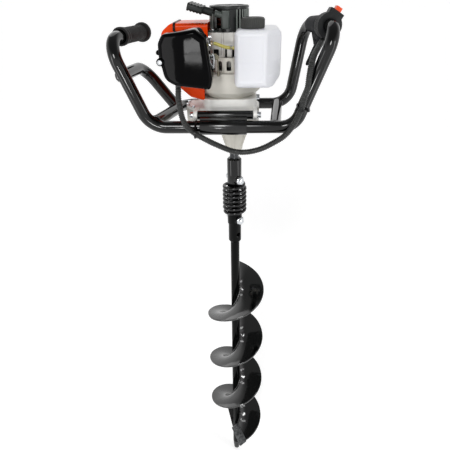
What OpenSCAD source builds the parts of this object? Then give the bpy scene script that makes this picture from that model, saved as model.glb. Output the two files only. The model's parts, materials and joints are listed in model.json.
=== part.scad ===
/* [Drill] */
// Diameter of the helical flight
flight_d = 150; // [120:1:190]
// Rise of the flight in one turn
flight_pitch = 160; // [140:1:180]
// Turns of the flight
flight_turns = 3.45; // [2.5:0.05:3.8]
// Thickness of the flight plate
flight_t = 5; // [3:0.5:7]
// Height of the flight's lower edge above the point
flight_low = 126; // [100:1:140]
// Diameter of the drill rod
rod_d = 22; // [18:1:24]
// Length of the drill from its point to the top of its rod
drill_len = 862; // [820:1:940]
// Length of the pilot point below the rod
pilot_len = 38; // [30:1:50]
// Length of the cutter bar along its edge
cutter_len = 66; // [50:1:74]
// Width of the cutter bar
cutter_w = 22; // [16:1:28]
// Thickness of the cutter bar
cutter_t = 6; // [4:0.5:9]

/* [Coupling] */
// Length of the rod held in the lower socket
rod_insert = 73; // [66:1:80]
// Outer diameter of the lower socket's sleeve
lower_socket_d = 31; // [30:0.5:33]
// Outer diameter of the lower socket's collar
lower_collar_d = 35; // [34:0.5:37]
// Length of the lower socket
lower_socket_len = 95; // [92:1:100]
// Outer diameter of the upper socket
upper_socket_d = 33; // [32:0.5:36]
// Length of the upper socket
upper_socket_len = 71; // [66:1:80]
// Distance between the two sockets at rest
socket_gap = 52; // [48:1:60]
// Diameter of the guide spigot inside the spring
spigot_d = 16; // [12:0.5:18]
// Outer diameter of the coupling spring
spring_d = 57; // [54:0.5:62]
// Wire diameter of the coupling spring
spring_wire = 7.6; // [6:0.1:8]
// Turns of the coupling spring
spring_turns = 7; // [6:1:8]
// Diameter of the coupling bolts
coupling_bolt_d = 10; // [8:0.5:11]
// Diameter of the spare pin hole in the lower socket
spare_hole_d = 10; // [6:0.5:12]

/* [Gearbox] */
// Gear module of both stages
gear_m = 1.5; // [1.5:0.05:1.6]
// Teeth of the pinions
pinion_teeth = 10; // [10:1:10]
// Teeth of the countershaft gear
counter_teeth = 50; // [50:2:52]
// Teeth of the output gear
output_teeth = 60; // [60:2:62]
// Face width of the gears
gear_w = 12; // [10:0.5:13]
// Wall of the gear case
case_wall = 6; // [5:0.5:8]
// Length of the output neck under the gear case
neck_len = 56; // [50:1:64]
// Diameter of the output shaft
shaft_d = 20; // [18:0.5:22]
// Free length of shaft between the neck and the upper socket
shaft_gap = 21; // [16:1:30]

/* [Engine] */
// Diameter of the fan housing
fan_d = 128; // [122:1:132]
// Height of the fan housing drum
fan_h = 51; // [50:1:56]
// Width of the square crankcase
crankcase_w = 84; // [82:1:88]
// Diameter of the cylinder bore
bore_d = 38; // [34:0.5:38]
// Stroke of the piston
stroke = 30; // [26:1:32]
// Diameter of the cooling fins
fin_d = 76; // [70:1:82]
// Wall of the cylinder shroud
shroud_wall = 2.5; // [2:0.1:3.5]
// Diameter of the recoil starter housing
starter_d = 76; // [72:1:80]
// Height of the recoil starter housing
starter_h = 47; // [45:1:52]
// Depth of the air filter cover
filter_depth = 42; // [36:1:50]
// Width of the fuel tank
tank_w = 88; // [84:1:96]
// Height of the fuel tank
tank_h = 103; // [98:1:108]
// Diameter of the fuel cap
cap_d = 45; // [40:1:50]

/* [Frame] */
// Diameter of the handlebar tubes
tube_d = 25; // [22:0.5:26]
// Wall of the handlebar tubes
tube_wall = 2; // [1.5:0.1:3]
// Distance from the drill axis to the front and rear runs
frame_half = 96.5; // [94:0.5:104]
// Height of the left grip above the bottom runs
grip_rise = 166; // [150:1:180]
// Height of the throttle handle above the bottom runs
throttle_rise = 183; // [178:1:190]
// Length of the rubber grip
grip_len = 116; // [100:1:125]
// Diameter of the rubber grip
grip_d = 31; // [29:0.5:36]
// Diameter of the cable conduit
conduit_d = 12; // [10:0.5:12.5]

/* [Hidden] */
$fn = 48;

// Clearances
slip = 0.05;
gap = 0.3;
running = 0.03;

// Heights of the stack, counted up from the drill point
z_lower0 = drill_len - rod_insert;
z_lower1 = z_lower0 + lower_socket_len;
z_upper0 = z_lower1 + socket_gap;
z_upper1 = z_upper0 + upper_socket_len;
z_neck0 = z_upper1 + shaft_gap;
z_case0 = z_neck0 + neck_len;
case_floor = 10;
gear_gap = 2.5;
z_gear0 = z_case0 + case_floor + 2;
z_counter0 = z_gear0 + gear_w + gear_gap;
z_case1 = z_counter0 + gear_w + 3;
plate_t = 6;
z_plate1 = z_case1 + plate_t;
clutch_h = 20;
z_clutch1 = z_plate1 + clutch_h;
z_fan1 = z_clutch1 + fan_h;
collar_h = 29;
z_crank0 = z_fan1 + collar_h;
crankcase_h = 46;
z_cyl = z_crank0 + crankcase_h / 2;
z_crank1 = z_crank0 + crankcase_h;
z_starter1 = z_crank1 + starter_h;
z_base = z_case0 + 23;

// Gear centres: the output gear turns on the drill axis
pinion_r = gear_m * pinion_teeth / 2;
counter_r = gear_m * counter_teeth / 2;
output_r = gear_m * output_teeth / 2;
counter_x = -(output_r + pinion_r);
engine_x = counter_x + counter_r + pinion_r;

// Frame corners
tube_r = tube_d / 2;
tube_ri = tube_r - tube_wall;
bend_r = 45;
low_bend_r = 50;
right_bend_r = 38;
throttle_bend_r = 40;
z_grip = z_base + grip_rise;
z_throttle = z_base + throttle_rise;
front_y = -frame_half;
rear_y = frame_half;
left_top = [-233, front_y, z_grip];
left_end = [-201, front_y + 168, z_grip - 3];
left_low = [-164, front_y, z_base];
right_low = [122, front_y, z_base];
right_top = [192, front_y, z_throttle];
rear_top = [154.5, rear_y, z_throttle - 9];
rear_right_low = [125, rear_y, z_base];
rear_left_low = [-118, rear_y, z_base];
cross_end = [-153, front_y + 4, z_base + 10];
brace_start = [-209, front_y + 6, z_base + 101];
brace_top = [-199, 40, z_base + 96];
brace_end = rear_left_low + (cross_end - rear_left_low) * 0.29;
right_cross_front = [84, front_y, z_base];
right_cross_rear = [99.5, rear_y, z_base + 2];

// Direction of the throttle handle and its local axes
handle_u = (rear_top - right_top) / norm(rear_top - right_top);
handle_w = cross([handle_u[1], -handle_u[0], 0] / norm([handle_u[1], handle_u[0]]), handle_u);
handle_v = cross(handle_w, handle_u);
collar_s = [46, 68];
housing_s = [collar_s[1], 152];
housing_d = tube_d + 9;
collar_d = tube_d + 23;
handle_split = 100;

// Throttle lever, in the plane of the throttle handle
lever_pivot = [100, 0, -29];
lever_len = 84;
lever_w = 12;
lever_angle = -40;
lever_pin_d = 5;
cheek_t = 3;

// Coupling cross bolts
bolt_az = -52;
bolt_r = coupling_bolt_d / 2;
boss_r = coupling_bolt_d + 1;
boss_reach = 21;
head_r = coupling_bolt_d - 0.5;
head_t = 7;
upper_bolt_z = z_upper0 + 20;
lower_bolt_z = z_lower0 + 63;
spare_hole_z = z_lower0 + 22;
collar_step_z = z_lower0 + 50;

// Mount bushes above the runs
bush_r = 9;
bush_x = [engine_x - 62.5, engine_x + 48.5];
bush_y = frame_half - 18.5;
bush_z = z_base + 19;
mount_bolt_d = 8;
lug_t = 8;
saddle_t = 3;

// Crank train
crank_r = stroke / 2;
crankpin_r = 6;
crank_shaft_r = 8;
web_t = 7;
web_gap = 10;
web_r = crank_r + crankpin_r + 4;
rod_len = 50;
wrist_r = 4.5;
piston_crown = 13;
piston_skirt = 16;
piston_r = bore_d / 2 - 0.05;
wrist_x = engine_x - crank_r - rod_len;
crown_x = wrist_x - piston_crown;
spigot_wall = 3;
cyl_face_x = engine_x - crankcase_w / 2;
head_x = crown_x - 2;
head_t_cyl = 18;
fin_t = 2.4;
fin_step = 6.4;
port_x = -62;
port_r = 13;
port_y = 48;

// Shroud outline in the X-Z plane
shroud_y = 46;
shroud_x1 = -47.5;
shroud_x0 = head_x - 52;
shroud_z1 = z_crank1 + 18;
shroud_z0 = z_clutch1 - 4;

// Intake side, front to back
insulator_t = 14;
carb_y1 = -(port_y + insulator_t);
carb_len = 36;
filter_y1 = carb_y1 - carb_len;
base_t = 8;
cover_y1 = filter_y1 - base_t;
cover_y0 = cover_y1 - filter_depth;
cover_wall = 2.5;
cover_pts = [[-54, z_cyl + 40], [-122, z_cyl + 30], [-130.5, z_cyl + 14], [-130.5, z_cyl - 8],
  [-121, z_cyl - 49], [-104, z_cyl - 57], [-38, z_cyl - 64], [-33, z_cyl - 44], [-43, z_cyl + 20]];
cover_screw = [-127.5, z_cyl - 17];
cover_boss_y = cover_y0 + 13;

// Recoil starter pull line
pull_tilt = 16.5;
pull_u = [-cos(pull_tilt), 0, sin(pull_tilt)];
pull_from = [engine_x - 6.5, -(starter_d / 2 + 6), z_crank1 + 29];
rope_r = 2;

// Fuel tank
tank_z1 = z_crank1 + 9;
tank_z0 = tank_z1 - tank_h;
tank_x0 = 5;
tank_x1 = tank_x0 + tank_w;
tank_round = 11;
tank_y0 = -108;
cap_h = 19;
cap_x = 39;
cap_y = -62;
neck_r = cap_d / 2 - 5;

// Route of the cable conduit, by hand, from the front run of the frame
route_points = [
  [172, 52.5, 154], [162, 30.5, 144], [151, 4.5, 131], [144, -12.5, 105], [141, -19.5, 81],
  [136, -20.5, 60], [131, -20.5, 39], [119, -20.5, 11], [103, -19.5, -11], [84, -18.5, -25],
  [59, -16.5, -39], [35, -15.5, -46], [15, -15.5, -47], [-5, -15.5, -43], [-34, -16.5, -30],
  [-53, -19.5, -19], [-71, -20.5, -8], [-85, -20.5, 4], [-94, -20.5, 19], [-99, -18.5, 40],
  [-102, -12.5, 61], [-102, -6.5, 78], [-102, -5.5, 88]];
conduit_route = [for (p = route_points) p + [0, front_y, z_base]];

function unit(v) = v / norm(v);
function flatten(a) = [for (b = a) for (c = b) c];
function mid(a, b) = (a + b) / 2;

// Turns +Z to a direction
module orient(d) {
  rotate([0, acos(d[2] / norm(d)), atan2(d[1], d[0])])
    children();
}

module rod_between(a, b, r) {
  translate(a)
    orient(b - a)
      cylinder(r = r, h = norm(b - a));
}

module pipe_straight(a, b, ro, ri) {
  len = norm(b - a);
  translate(a)
    orient(b - a)
      difference() {
        cylinder(r = ro, h = len);
        translate([0, 0, -1])
          cylinder(r = ri, h = len + 2);
      }
}

function turn(d1, d2) = acos(d1 * d2);
function setback(d1, d2, r) = r * tan(turn(d1, d2) / 2);

// One solid round bend at corner p, from direction d1 to direction d2, run a little into both straights
module rod_bend(p, d1, d2, bend, r) {
  n = unit(cross(d1, d2));
  m = cross(n, d1);
  c = p - setback(d1, d2, bend) * d1 + bend * m;
  lap = 1;
  multmatrix([[-m[0], d1[0], n[0], c[0]], [-m[1], d1[1], n[1], c[1]], [-m[2], d1[2], n[2], c[2]]])
    rotate(-lap)
      rotate_extrude(angle = turn(d1, d2) + 2 * lap)
        translate([bend, 0])
          circle(r = r - 0.02);
}

// A solid rod through corner points: bends gives the radius at each inner corner
module bent_rod(pts, bends, r) {
  last = len(pts) - 1;
  d = [for (i = [0:last - 1]) unit(pts[i + 1] - pts[i])];
  s = [for (i = [0:last]) i == 0 || i == last ? 0 : setback(d[i - 1], d[i], bends[i - 1])];
  for (i = [0:last - 1])
    rod_between(pts[i] + d[i] * s[i], pts[i + 1] - d[i] * s[i + 1], r);
  for (i = [1:last - 1])
    rod_bend(pts[i], d[i - 1], d[i], bends[i - 1], r);
}

// A tube through corner points, open at both ends
function stretched(pts, e) = let (n = len(pts) - 1)
  [for (i = [0:n]) i == 0 ? pts[0] - unit(pts[1] - pts[0]) * e
    : i == n ? pts[n] + unit(pts[n] - pts[n - 1]) * e : pts[i]];
module bent_pipe(pts, bends, ro, ri) {
  difference() {
    bent_rod(pts, bends, ro);
    bent_rod(stretched(pts, 2), bends, ri);
  }
}

// Points of a smooth curve through hand-chosen points
function spline_at(p, i, t) = let (
    last = len(p) - 1,
    a = p[max(i - 1, 0)], b = p[i], c = p[min(i + 1, last)], e = p[min(i + 2, last)])
  0.5 * (2 * b + (c - a) * t + (2 * a - 5 * b + 4 * c - e) * t * t
    + (3 * b - a - 3 * c + e) * t * t * t);
function spline(p, n) = concat(
  [for (i = [0:len(p) - 2]) for (k = [0:n - 1]) spline_at(p, i, k / n)],
  [p[len(p) - 1]]);

// Side and up vectors of a curve at each of its points
function tangent(p, i) = unit(p[min(i + 1, len(p) - 1)] - p[max(i - 1, 0)]);
function side(t, ref) = unit(cross(t, ref));

// A closed tube swept along points: radii gives one outer radius for each point
module swept_tube(p, radii, sides, ref) {
  n = len(p);
  pts = [for (i = [0:n - 1]) let (t = tangent(p, i), a = side(t, ref), b = cross(a, t))
    for (k = [0:sides - 1]) p[i] + radii[i] * (a * cos(360 * k / sides) + b * sin(360 * k / sides))];
  walls = [for (i = [0:n - 2]) for (k = [0:sides - 1]) let (
      k2 = (k + 1) % sides, a = i * sides + k, b = i * sides + k2)
    each [[a, b, b + sides], [a, b + sides, a + sides]]];
  caps = concat(
    [for (k = [1:sides - 2]) [0, k + 1, k]],
    [for (k = [1:sides - 2]) [(n - 1) * sides, (n - 1) * sides + k, (n - 1) * sides + k + 1]]);
  polyhedron(points = pts, faces = concat(walls, caps), convexity = 8);
}

// A swept hose with a bore: outer radius per point, one bore radius
module swept_hose(p, radii, bore, sides, ref) {
  n = len(p);
  ring = function(r, i) let (t = tangent(p, i), a = side(t, ref), b = cross(a, t))
    [for (k = [0:sides - 1]) p[i] + r * (a * cos(360 * k / sides) + b * sin(360 * k / sides))];
  pts = concat(
    flatten([for (i = [0:n - 1]) ring(radii[i], i)]),
    flatten([for (i = [0:n - 1]) ring(bore, i)]));
  m = n * sides;
  walls = [for (i = [0:n - 2]) for (k = [0:sides - 1]) let (
      k2 = (k + 1) % sides, a = i * sides + k, b = i * sides + k2)
    each [[a, b, b + sides], [a, b + sides, a + sides],
      [m + b, m + a, m + a + sides], [m + b, m + a + sides, m + b + sides]]];
  ends = [for (k = [0:sides - 1]) let (k2 = (k + 1) % sides, e = (n - 1) * sides)
    each [[k, m + k2, k2], [k, m + k, m + k2],
      [e + k, e + k2, m + e + k2], [e + k, m + e + k2, m + e + k]]];
  polyhedron(points = pts, faces = concat(walls, ends), convexity = 8);
}

// Rounded rectangle with true arcs, centred
module rounded_rect(w, h, r) {
  square([w - 2 * r, h], center = true);
  square([w, h - 2 * r], center = true);
  for (x = [-1, 1], y = [-1, 1])
    translate([x * (w / 2 - r), y * (h / 2 - r)])
      circle(r = r);
}

// Two circles on the X axis joined by their outer tangents
module lobes(x1, r1, x2, r2) {
  c = (r1 - r2) / abs(x2 - x1);
  s = sqrt(1 - c * c);
  e = x2 < x1 ? -1 : 1;
  translate([x1, 0])
    circle(r = r1);
  translate([x2, 0])
    circle(r = r2);
  polygon([[x1 + e * r1 * c, r1 * s], [x2 + e * r2 * c, r2 * s], [x2 + e * r2 * c, -r2 * s],
    [x1 + e * r1 * c, -r1 * s]]);
}

// Convex outline moved inwards by d
function inset_corner(a, b, c, d) = let (
    u = unit(b - a), v = unit(c - b), n = [-u[1], u[0]], m = [-v[1], v[0]], k = 1 + n * m)
  b + (n + m) * d / k;
function inset(p, d) = let (n = len(p))
  [for (i = [0:n - 1]) inset_corner(p[(i + n - 1) % n], p[i], p[(i + 1) % n], d)];

// Involute gear outline: addendum and root depth come from the profile shift x
pressure = 20;
backlash = 0.12;
function inv_deg(a) = tan(a) * 180 / PI - a;
function half_tooth(r, z, x) = let (
    rp = gear_m * z / 2, rb = rp * cos(pressure),
    s = gear_m * (PI / 2 + 2 * x * tan(pressure)) - backlash,
    a = acos(min(1, rb / r)))
  s / rp / 2 * 180 / PI + inv_deg(pressure) - inv_deg(a);
function tooth(i, z, x, tip, root) = let (
    rb = gear_m * z / 2 * cos(pressure), r0 = max(rb, root), n = 4,
    rs = concat(root < rb ? [root] : [], [for (k = [0:n]) r0 + (tip - r0) * k / n]),
    at = function(r, sign) let (h = half_tooth(max(r, rb), z, x), c = 360 * i / z + sign * h)
      [r * cos(c), r * sin(c)],
    m = len(rs) - 1)
  concat([for (r = rs) at(r, -1)], [for (k = [0:m]) at(rs[m - k], 1)]);
module gear_outline(z, x, tip_factor) {
  tip = gear_m * (z / 2 + tip_factor + x);
  root = gear_m * (z / 2 - 1.25 + x);
  polygon(flatten([for (i = [0:z - 1]) tooth(i, z, x, tip, root)]));
}
pinion_shift = 0.5;
pinion_tip = 0.85;

// Local frame of the throttle handle: X along it, Z up
module at_handle() {
  multmatrix([[handle_u[0], handle_v[0], handle_w[0], right_top[0]],
    [handle_u[1], handle_v[1], handle_w[1], right_top[1]],
    [handle_u[2], handle_v[2], handle_w[2], right_top[2]]])
    children();
}
function handle_point(s) = right_top + handle_u * s;

module front_tube() {
  color("#17181a")
    bent_pipe([left_end, left_top, left_low, right_low, right_top, handle_point(handle_split - slip)],
      [bend_r, low_bend_r, right_bend_r, throttle_bend_r], tube_r, tube_ri);
}

module rear_tube() {
  color("#17181a")
    difference() {
      bent_pipe([handle_point(handle_split), rear_top, rear_right_low, rear_left_low, cross_end],
        [bend_r, bend_r, bend_r], tube_r, tube_ri);
      rod_bend(left_low, unit(left_low - left_top), [1, 0, 0], low_bend_r, tube_r + slip);
      rod_between(left_low + [20, 0, 0], right_low, tube_r + slip);
    }
}

module left_brace_tube() {
  color("#17181a")
    difference() {
      bent_pipe([brace_start, brace_top, brace_end], [bend_r], tube_r, tube_ri);
      rod_between(left_low, left_top, tube_r + slip);
      rod_between(rear_left_low, cross_end, tube_r + slip);
    }
}

module right_cross_tube() {
  color("#17181a")
    difference() {
      pipe_straight(right_cross_front, right_cross_rear, tube_r - 1, tube_ri - 1);
      rod_between(left_low, right_low, tube_r + slip);
      rod_bend(rear_right_low, unit(rear_right_low - rear_top), [-1, 0, 0], bend_r, tube_r + 2 * slip);
    }
}

module left_grip() {
  wall = grip_d / 2;
  end_cap = 6;
  near = 2.5;
  far = 5;
  color("#2b2a29")
    translate(left_end)
      orient(left_top - left_end)
        difference() {
          rotate_extrude()
            union() {
              translate([0, -end_cap])
                square([wall, grip_len]);
              translate([0, -end_cap + 3])
                square([wall + far, 11]);
              translate([wall + far - 3, -end_cap + 3])
                circle(r = 3);
              translate([0, -end_cap])
                square([wall + far - 3, 4]);
              translate([0, grip_len - end_cap - 9])
                square([wall + near, 9]);
              for (i = [1:7])
                translate([0, 8 + i * (grip_len - 34) / 8])
                  square([wall + 0.8, 5]);
            }
          cylinder(r = tube_r + slip, h = grip_len + 2);
        }
}

module throttle_housing() {
  body_r = housing_d / 2;
  cheek_w = lever_w / 2 + gap;
  color("#1c1d1f")
    at_handle()
      difference() {
        union() {
          rotate([0, 90, 0])
            rotate_extrude()
              polygon([[0, housing_s[0]], [body_r + 1, housing_s[0]], [body_r + 2, housing_s[0] + 20],
                [body_r, housing_s[1] - 25], [body_r - 1, housing_s[1]], [0, housing_s[1]]]);
          for (e = [-1, 1])
            translate([0, e * (cheek_w + cheek_t / 2) + cheek_t / 2, 0])
              rotate([90, 0, 0])
                linear_extrude(height = cheek_t)
                  polygon([[housing_s[0] + 2, -8], [housing_s[0] + 6, -26],
                    [lever_pivot[0] - 6, lever_pivot[2] - 9], [lever_pivot[0] + 8, lever_pivot[2] - 9],
                    [lever_pivot[0] + 22, -20], [lever_pivot[0] + 30, -8]]);
        }
        rotate([0, 90, 0])
          cylinder(r = tube_r + slip, h = 300);
        translate(lever_pivot)
          rotate([90, 0, 0])
            cylinder(r = lever_pin_d / 2 + slip, h = 60, center = true);
      }
}

module throttle_collar() {
  r = collar_d / 2;
  step = 4.4;
  mid_s = mid(collar_s[0], collar_s[1]);
  color("#232426")
    at_handle()
      difference() {
        union() {
          rotate([0, 90, 0])
            rotate_extrude()
              union() {
                translate([0, collar_s[0]])
                  square([r - 2, collar_s[1] - collar_s[0]]);
                for (i = [0:4])
                  translate([0, collar_s[0] + i * step])
                    square([r, step - 1.4]);
              }
          rotate([button_lean, 0, 0])
            translate([mid_s, 0, r - 6])
              linear_extrude(height = 11)
                rounded_rect(collar_s[1] - collar_s[0] - 2, 30, 4);
          rotate([button_lean, 0, 0])
            translate([mid_s - 4, 15, r - 8])
              cylinder(r = 4, h = 11);
        }
        rotate([0, 90, 0])
          cylinder(r = tube_r + slip, h = 200);
        rotate([button_lean, 0, 0])
          translate([mid_s, 0, r - 5])
            linear_extrude(height = 20)
              square([button_w + 2 * gap, button_w + 2 * gap], center = true);
      }
}
button_w = 12;
button_h = 18;
button_travel = 3;
button_lean = 32;

module stop_button() {
  r = collar_d / 2;
  color("#f04a1c")
    at_handle()
      rotate([button_lean, 0, 0])
        translate([mid(collar_s[0], collar_s[1]), 0, r - 5 + button_travel + gap])
          difference() {
            linear_extrude(height = button_h - button_travel)
              square([button_w, button_w], center = true);
            for (i = [-1:1])
              translate([0, i * 3.5, button_h - button_travel])
                cube([button_w + 2, 1, 1.2], center = true);
          }
}

module throttle_lever() {
  d = lever_angle;
  color("#1a1b1e")
    at_handle()
      translate(lever_pivot) {
        rotate([90, 0, 0])
          cylinder(r = lever_pin_d / 2, h = lever_w + 2 * (gap + cheek_t) + 2, center = true);
        difference() {
          translate([0, lever_w / 2, 0])
            rotate([90, 0, 0])
              linear_extrude(height = lever_w)
                union() {
                  circle(r = 6);
                  rotate(d) {
                    translate([0, -3.5])
                      square([lever_len - 4, 7]);
                    translate([lever_len - 4, 0])
                      circle(r = 3.5);
                    translate([20, -5.5])
                      square([34, 4]);
                  }
                }
          rotate([0, -d, 0])
            for (i = [0:4])
              translate([36 + i * 9, 0, 3.5])
                cube([3, lever_w - 3, 2], center = true);
        }
      }
}

// Corrugated conduit: two rings for each rib, straight at both ends
rib_count = 110;
module cable_conduit() {
  base = spline(conduit_route, 12);
  cum = [for (i = 0, s = 0; i < len(base); s = s + (i + 1 < len(base) ? norm(base[i + 1] - base[i]) : 0),
    i = i + 1) s];
  total = cum[len(cum) - 1];
  rings = 2 * rib_count;
  at = function(s) let (i = max([for (j = [0:len(cum) - 2]) if (cum[j] <= s) j]),
      f = (s - cum[i]) / (cum[i + 1] - cum[i])) base[i] + (base[i + 1] - base[i]) * f;
  p = [for (k = [0:rings]) at(min(total - 0.001, total * k / rings))];
  radii = [for (k = [0:rings]) k < 4 || k > rings - 4 ? conduit_d / 2 - 0.8
    : conduit_d / 2 - (k % 2 == 0 ? 0 : 1.2)];
  color("#151618")
    swept_hose(p, radii, conduit_d / 2 - 2.4, 8, [0.5, 0.8, -0.3]);
}

// Outline of a band round two circles, with the head of the tie on one side
function belt(r1, r2, far, head) =
  let (b = acos((r1 - r2) / far), n = [cos(b), sin(b)], p = [far, 0] + r2 * n, q = r1 * n,
    t = unit(q - p) * 3.5, m = (p + q) / 2)
  concat([for (k = [0:24]) let (a = b + (360 - 2 * b) * k / 24) r1 * [cos(a), sin(a)]],
    [for (k = [0:16]) let (a = b * (k / 8 - 1)) [far + r2 * cos(a), r2 * sin(a)]],
    head ? [m - t, m - t + n * 3.8, m + t + n * 3.8, m + t] : []);

// Band round the tube at c, which runs along d, and round the conduit at p
module tie_band(c, d, p) {
  off = (p - c) - d * ((p - c) * d);
  x = unit(off);
  y = cross(d, x);
  far = norm(off);
  r2 = conduit_d / 2 + 2.1;
  multmatrix([[x[0], y[0], d[0], c[0]], [x[1], y[1], d[1], c[1]], [x[2], y[2], d[2], c[2]]])
    linear_extrude(height = 3.6, center = true)
      difference() {
        polygon(belt(tube_r + 1.5, r2 + 1.4, far, true));
        polygon(belt(tube_r + 0.1, r2, far, false));
      }
}

module zip_ties() {
  right_u = unit(right_top - right_low);
  color("#101112") {
    tie_band([-72, front_y, z_base], [1, 0, 0], [-72, front_y - 20.5, z_base - 7.3]);
    tie_band(right_low + right_u * 42, right_u, [131, front_y - 20.5, z_base + 39]);
  }
}

// Saddle on a run, with the bush tube of the gearbox bolt: e is -1 at the front and 1 at the rear
module mount_saddle(e) {
  len = bush_x[1] - bush_x[0];
  x0 = bush_x[0] + 6;
  x1 = bush_x[1] - 12;
  color("#141517")
    difference() {
      union() {
        translate([bush_x[0], e * bush_y, bush_z])
          rotate([0, 90, 0])
            cylinder(r = bush_r, h = len);
        translate([x0, e * frame_half, z_base])
          rotate([0, 90, 0])
            cylinder(r = tube_r + saddle_t, h = x1 - x0);
        translate([x0, min(e * bush_y, e * (frame_half + 4)), z_base + 3])
          cube([x1 - x0, frame_half + 4 - bush_y, bush_z - z_base - 3]);
      }
      translate([bush_x[0] - 1, e * frame_half, z_base])
        rotate([0, 90, 0])
          cylinder(r = tube_r + slip, h = len + 2);
      translate([bush_x[0] - 1, e * bush_y, bush_z])
        rotate([0, 90, 0])
          cylinder(r = mount_bolt_d / 2 + slip, h = len + 2);
    }
}
module front_mount_saddle() {
  mount_saddle(-1);
}
module rear_mount_saddle() {
  mount_saddle(1);
}

module mount_bolts() {
  x0 = bush_x[0] - gap - lug_t;
  x1 = bush_x[1] + gap + lug_t;
  washer_t = 1.6;
  color("#c9ccd0")
    for (e = [-1, 1])
      translate([0, e * bush_y, bush_z])
        rotate([0, 90, 0]) {
          translate([0, 0, x0 - 8])
            cylinder(r = mount_bolt_d / 2, h = x1 - x0 + 9);
          translate([0, 0, x1])
            cylinder(r = mount_bolt_d, h = washer_t);
          translate([0, 0, x1 + washer_t])
            cylinder(r = mount_bolt_d * 0.82, h = 6, $fn = 6);
          translate([0, 0, x0 - 6.5])
            cylinder(r = mount_bolt_d * 0.82, h = 6.5, $fn = 6);
        }
}

// Gear case: open at the top, with the ribbed output neck below
case_r = output_r + gear_m + 2 + case_wall;
lobe_r = counter_r + gear_m + 4 + case_wall;
counter_shaft_r = 6;
counter_bush_r = 10;
neck_top_r = 30;
neck_low_r = 17;
bearing_low_h = 12;
bearing_top_h = 12;
bearing_low_r = 14;
bearing_top_r = 18;
neck_lip = 4;
z_top_bearing = z_case0 + case_floor - bearing_top_h;

module gear_case() {
  color("#c9c8c3")
    difference() {
      union() {
        translate([0, 0, z_case0])
          linear_extrude(height = z_case1 - z_case0)
            lobes(0, case_r, counter_x, lobe_r);
        translate([0, 0, z_neck0])
          rotate_extrude()
            polygon([[0, 0], [neck_low_r + 1, 0], [neck_low_r + 2, 4], [neck_low_r + 2, 12],
              [neck_top_r - 4, neck_len * 0.62], [neck_top_r, neck_len - 10],
              [neck_top_r + 2, neck_len], [0, neck_len]]);
        for (i = [0:5])
          rotate(30 + 60 * i)
            translate([0, 1.75, z_neck0])
              rotate([90, 0, 0])
                linear_extrude(height = 3.5)
                  polygon([[neck_low_r, 6], [neck_low_r + 4.5, 10],
                    [neck_top_r + 8, neck_len], [neck_low_r, neck_len]]);
      }
      translate([0, 0, z_case0 + case_floor])
        linear_extrude(height = 100)
          lobes(0, case_r - case_wall, counter_x, lobe_r - case_wall);
      translate([0, 0, z_neck0 - 1])
        cylinder(r = bearing_low_r, h = neck_lip + bearing_low_h + 1);
      translate([0, 0, z_neck0 + 8])
        cylinder(r = shaft_d / 2 + 1.5, h = neck_len + 20);
      translate([0, 0, z_top_bearing])
        cylinder(r = bearing_top_r, h = bearing_top_h + 1);
      translate([counter_x, 0, z_case0 + 2])
        cylinder(r = counter_bush_r, h = case_floor);
      for (a = screw_angles)
        translate([counter_x, 0, z_case1 - 9])
          rotate(a)
            translate([screw_r, 0, 0])
              cylinder(r = screw_shank_r + slip, h = 20);
    }
}
screw_angles = [132, 165, 195, 228];
screw_r = lobe_r - case_wall / 2;
screw_shank_r = 1.8;

module ring(ro, ri, h) {
  difference() {
    cylinder(r = ro, h = h);
    translate([0, 0, -1])
      cylinder(r = ri, h = h + 2);
  }
}

module gear_bearings() {
  color("#9a7b3c") {
    translate([counter_x, 0, z_case0 + 2])
      ring(counter_bush_r - running, counter_shaft_r + running, case_floor - 2);
    translate([counter_x, 0, z_case1])
      ring(counter_bush_r - running, counter_shaft_r + running, plate_t - 2);
    translate([engine_x, 0, z_case1])
      ring(drum_bush_r - running, drum_shaft_r + running, plate_t);
    translate([0, 0, z_neck0 + neck_lip])
      ring(bearing_low_r - running, shaft_d / 2 + running, bearing_low_h);
    translate([0, 0, z_top_bearing])
      ring(bearing_top_r - running, shaft_d / 2 + running, bearing_top_h);
  }
}
drum_shaft_r = 6;
drum_bush_r = 11;

module output_seal() {
  color("#161616")
    translate([0, 0, z_neck0 - 2])
      union() {
        ring(bearing_low_r - running, shaft_d / 2 + running, neck_lip + 2 - slip);
        ring(neck_low_r - 1, shaft_d / 2 + running, 2 - slip);
      }
}

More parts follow.
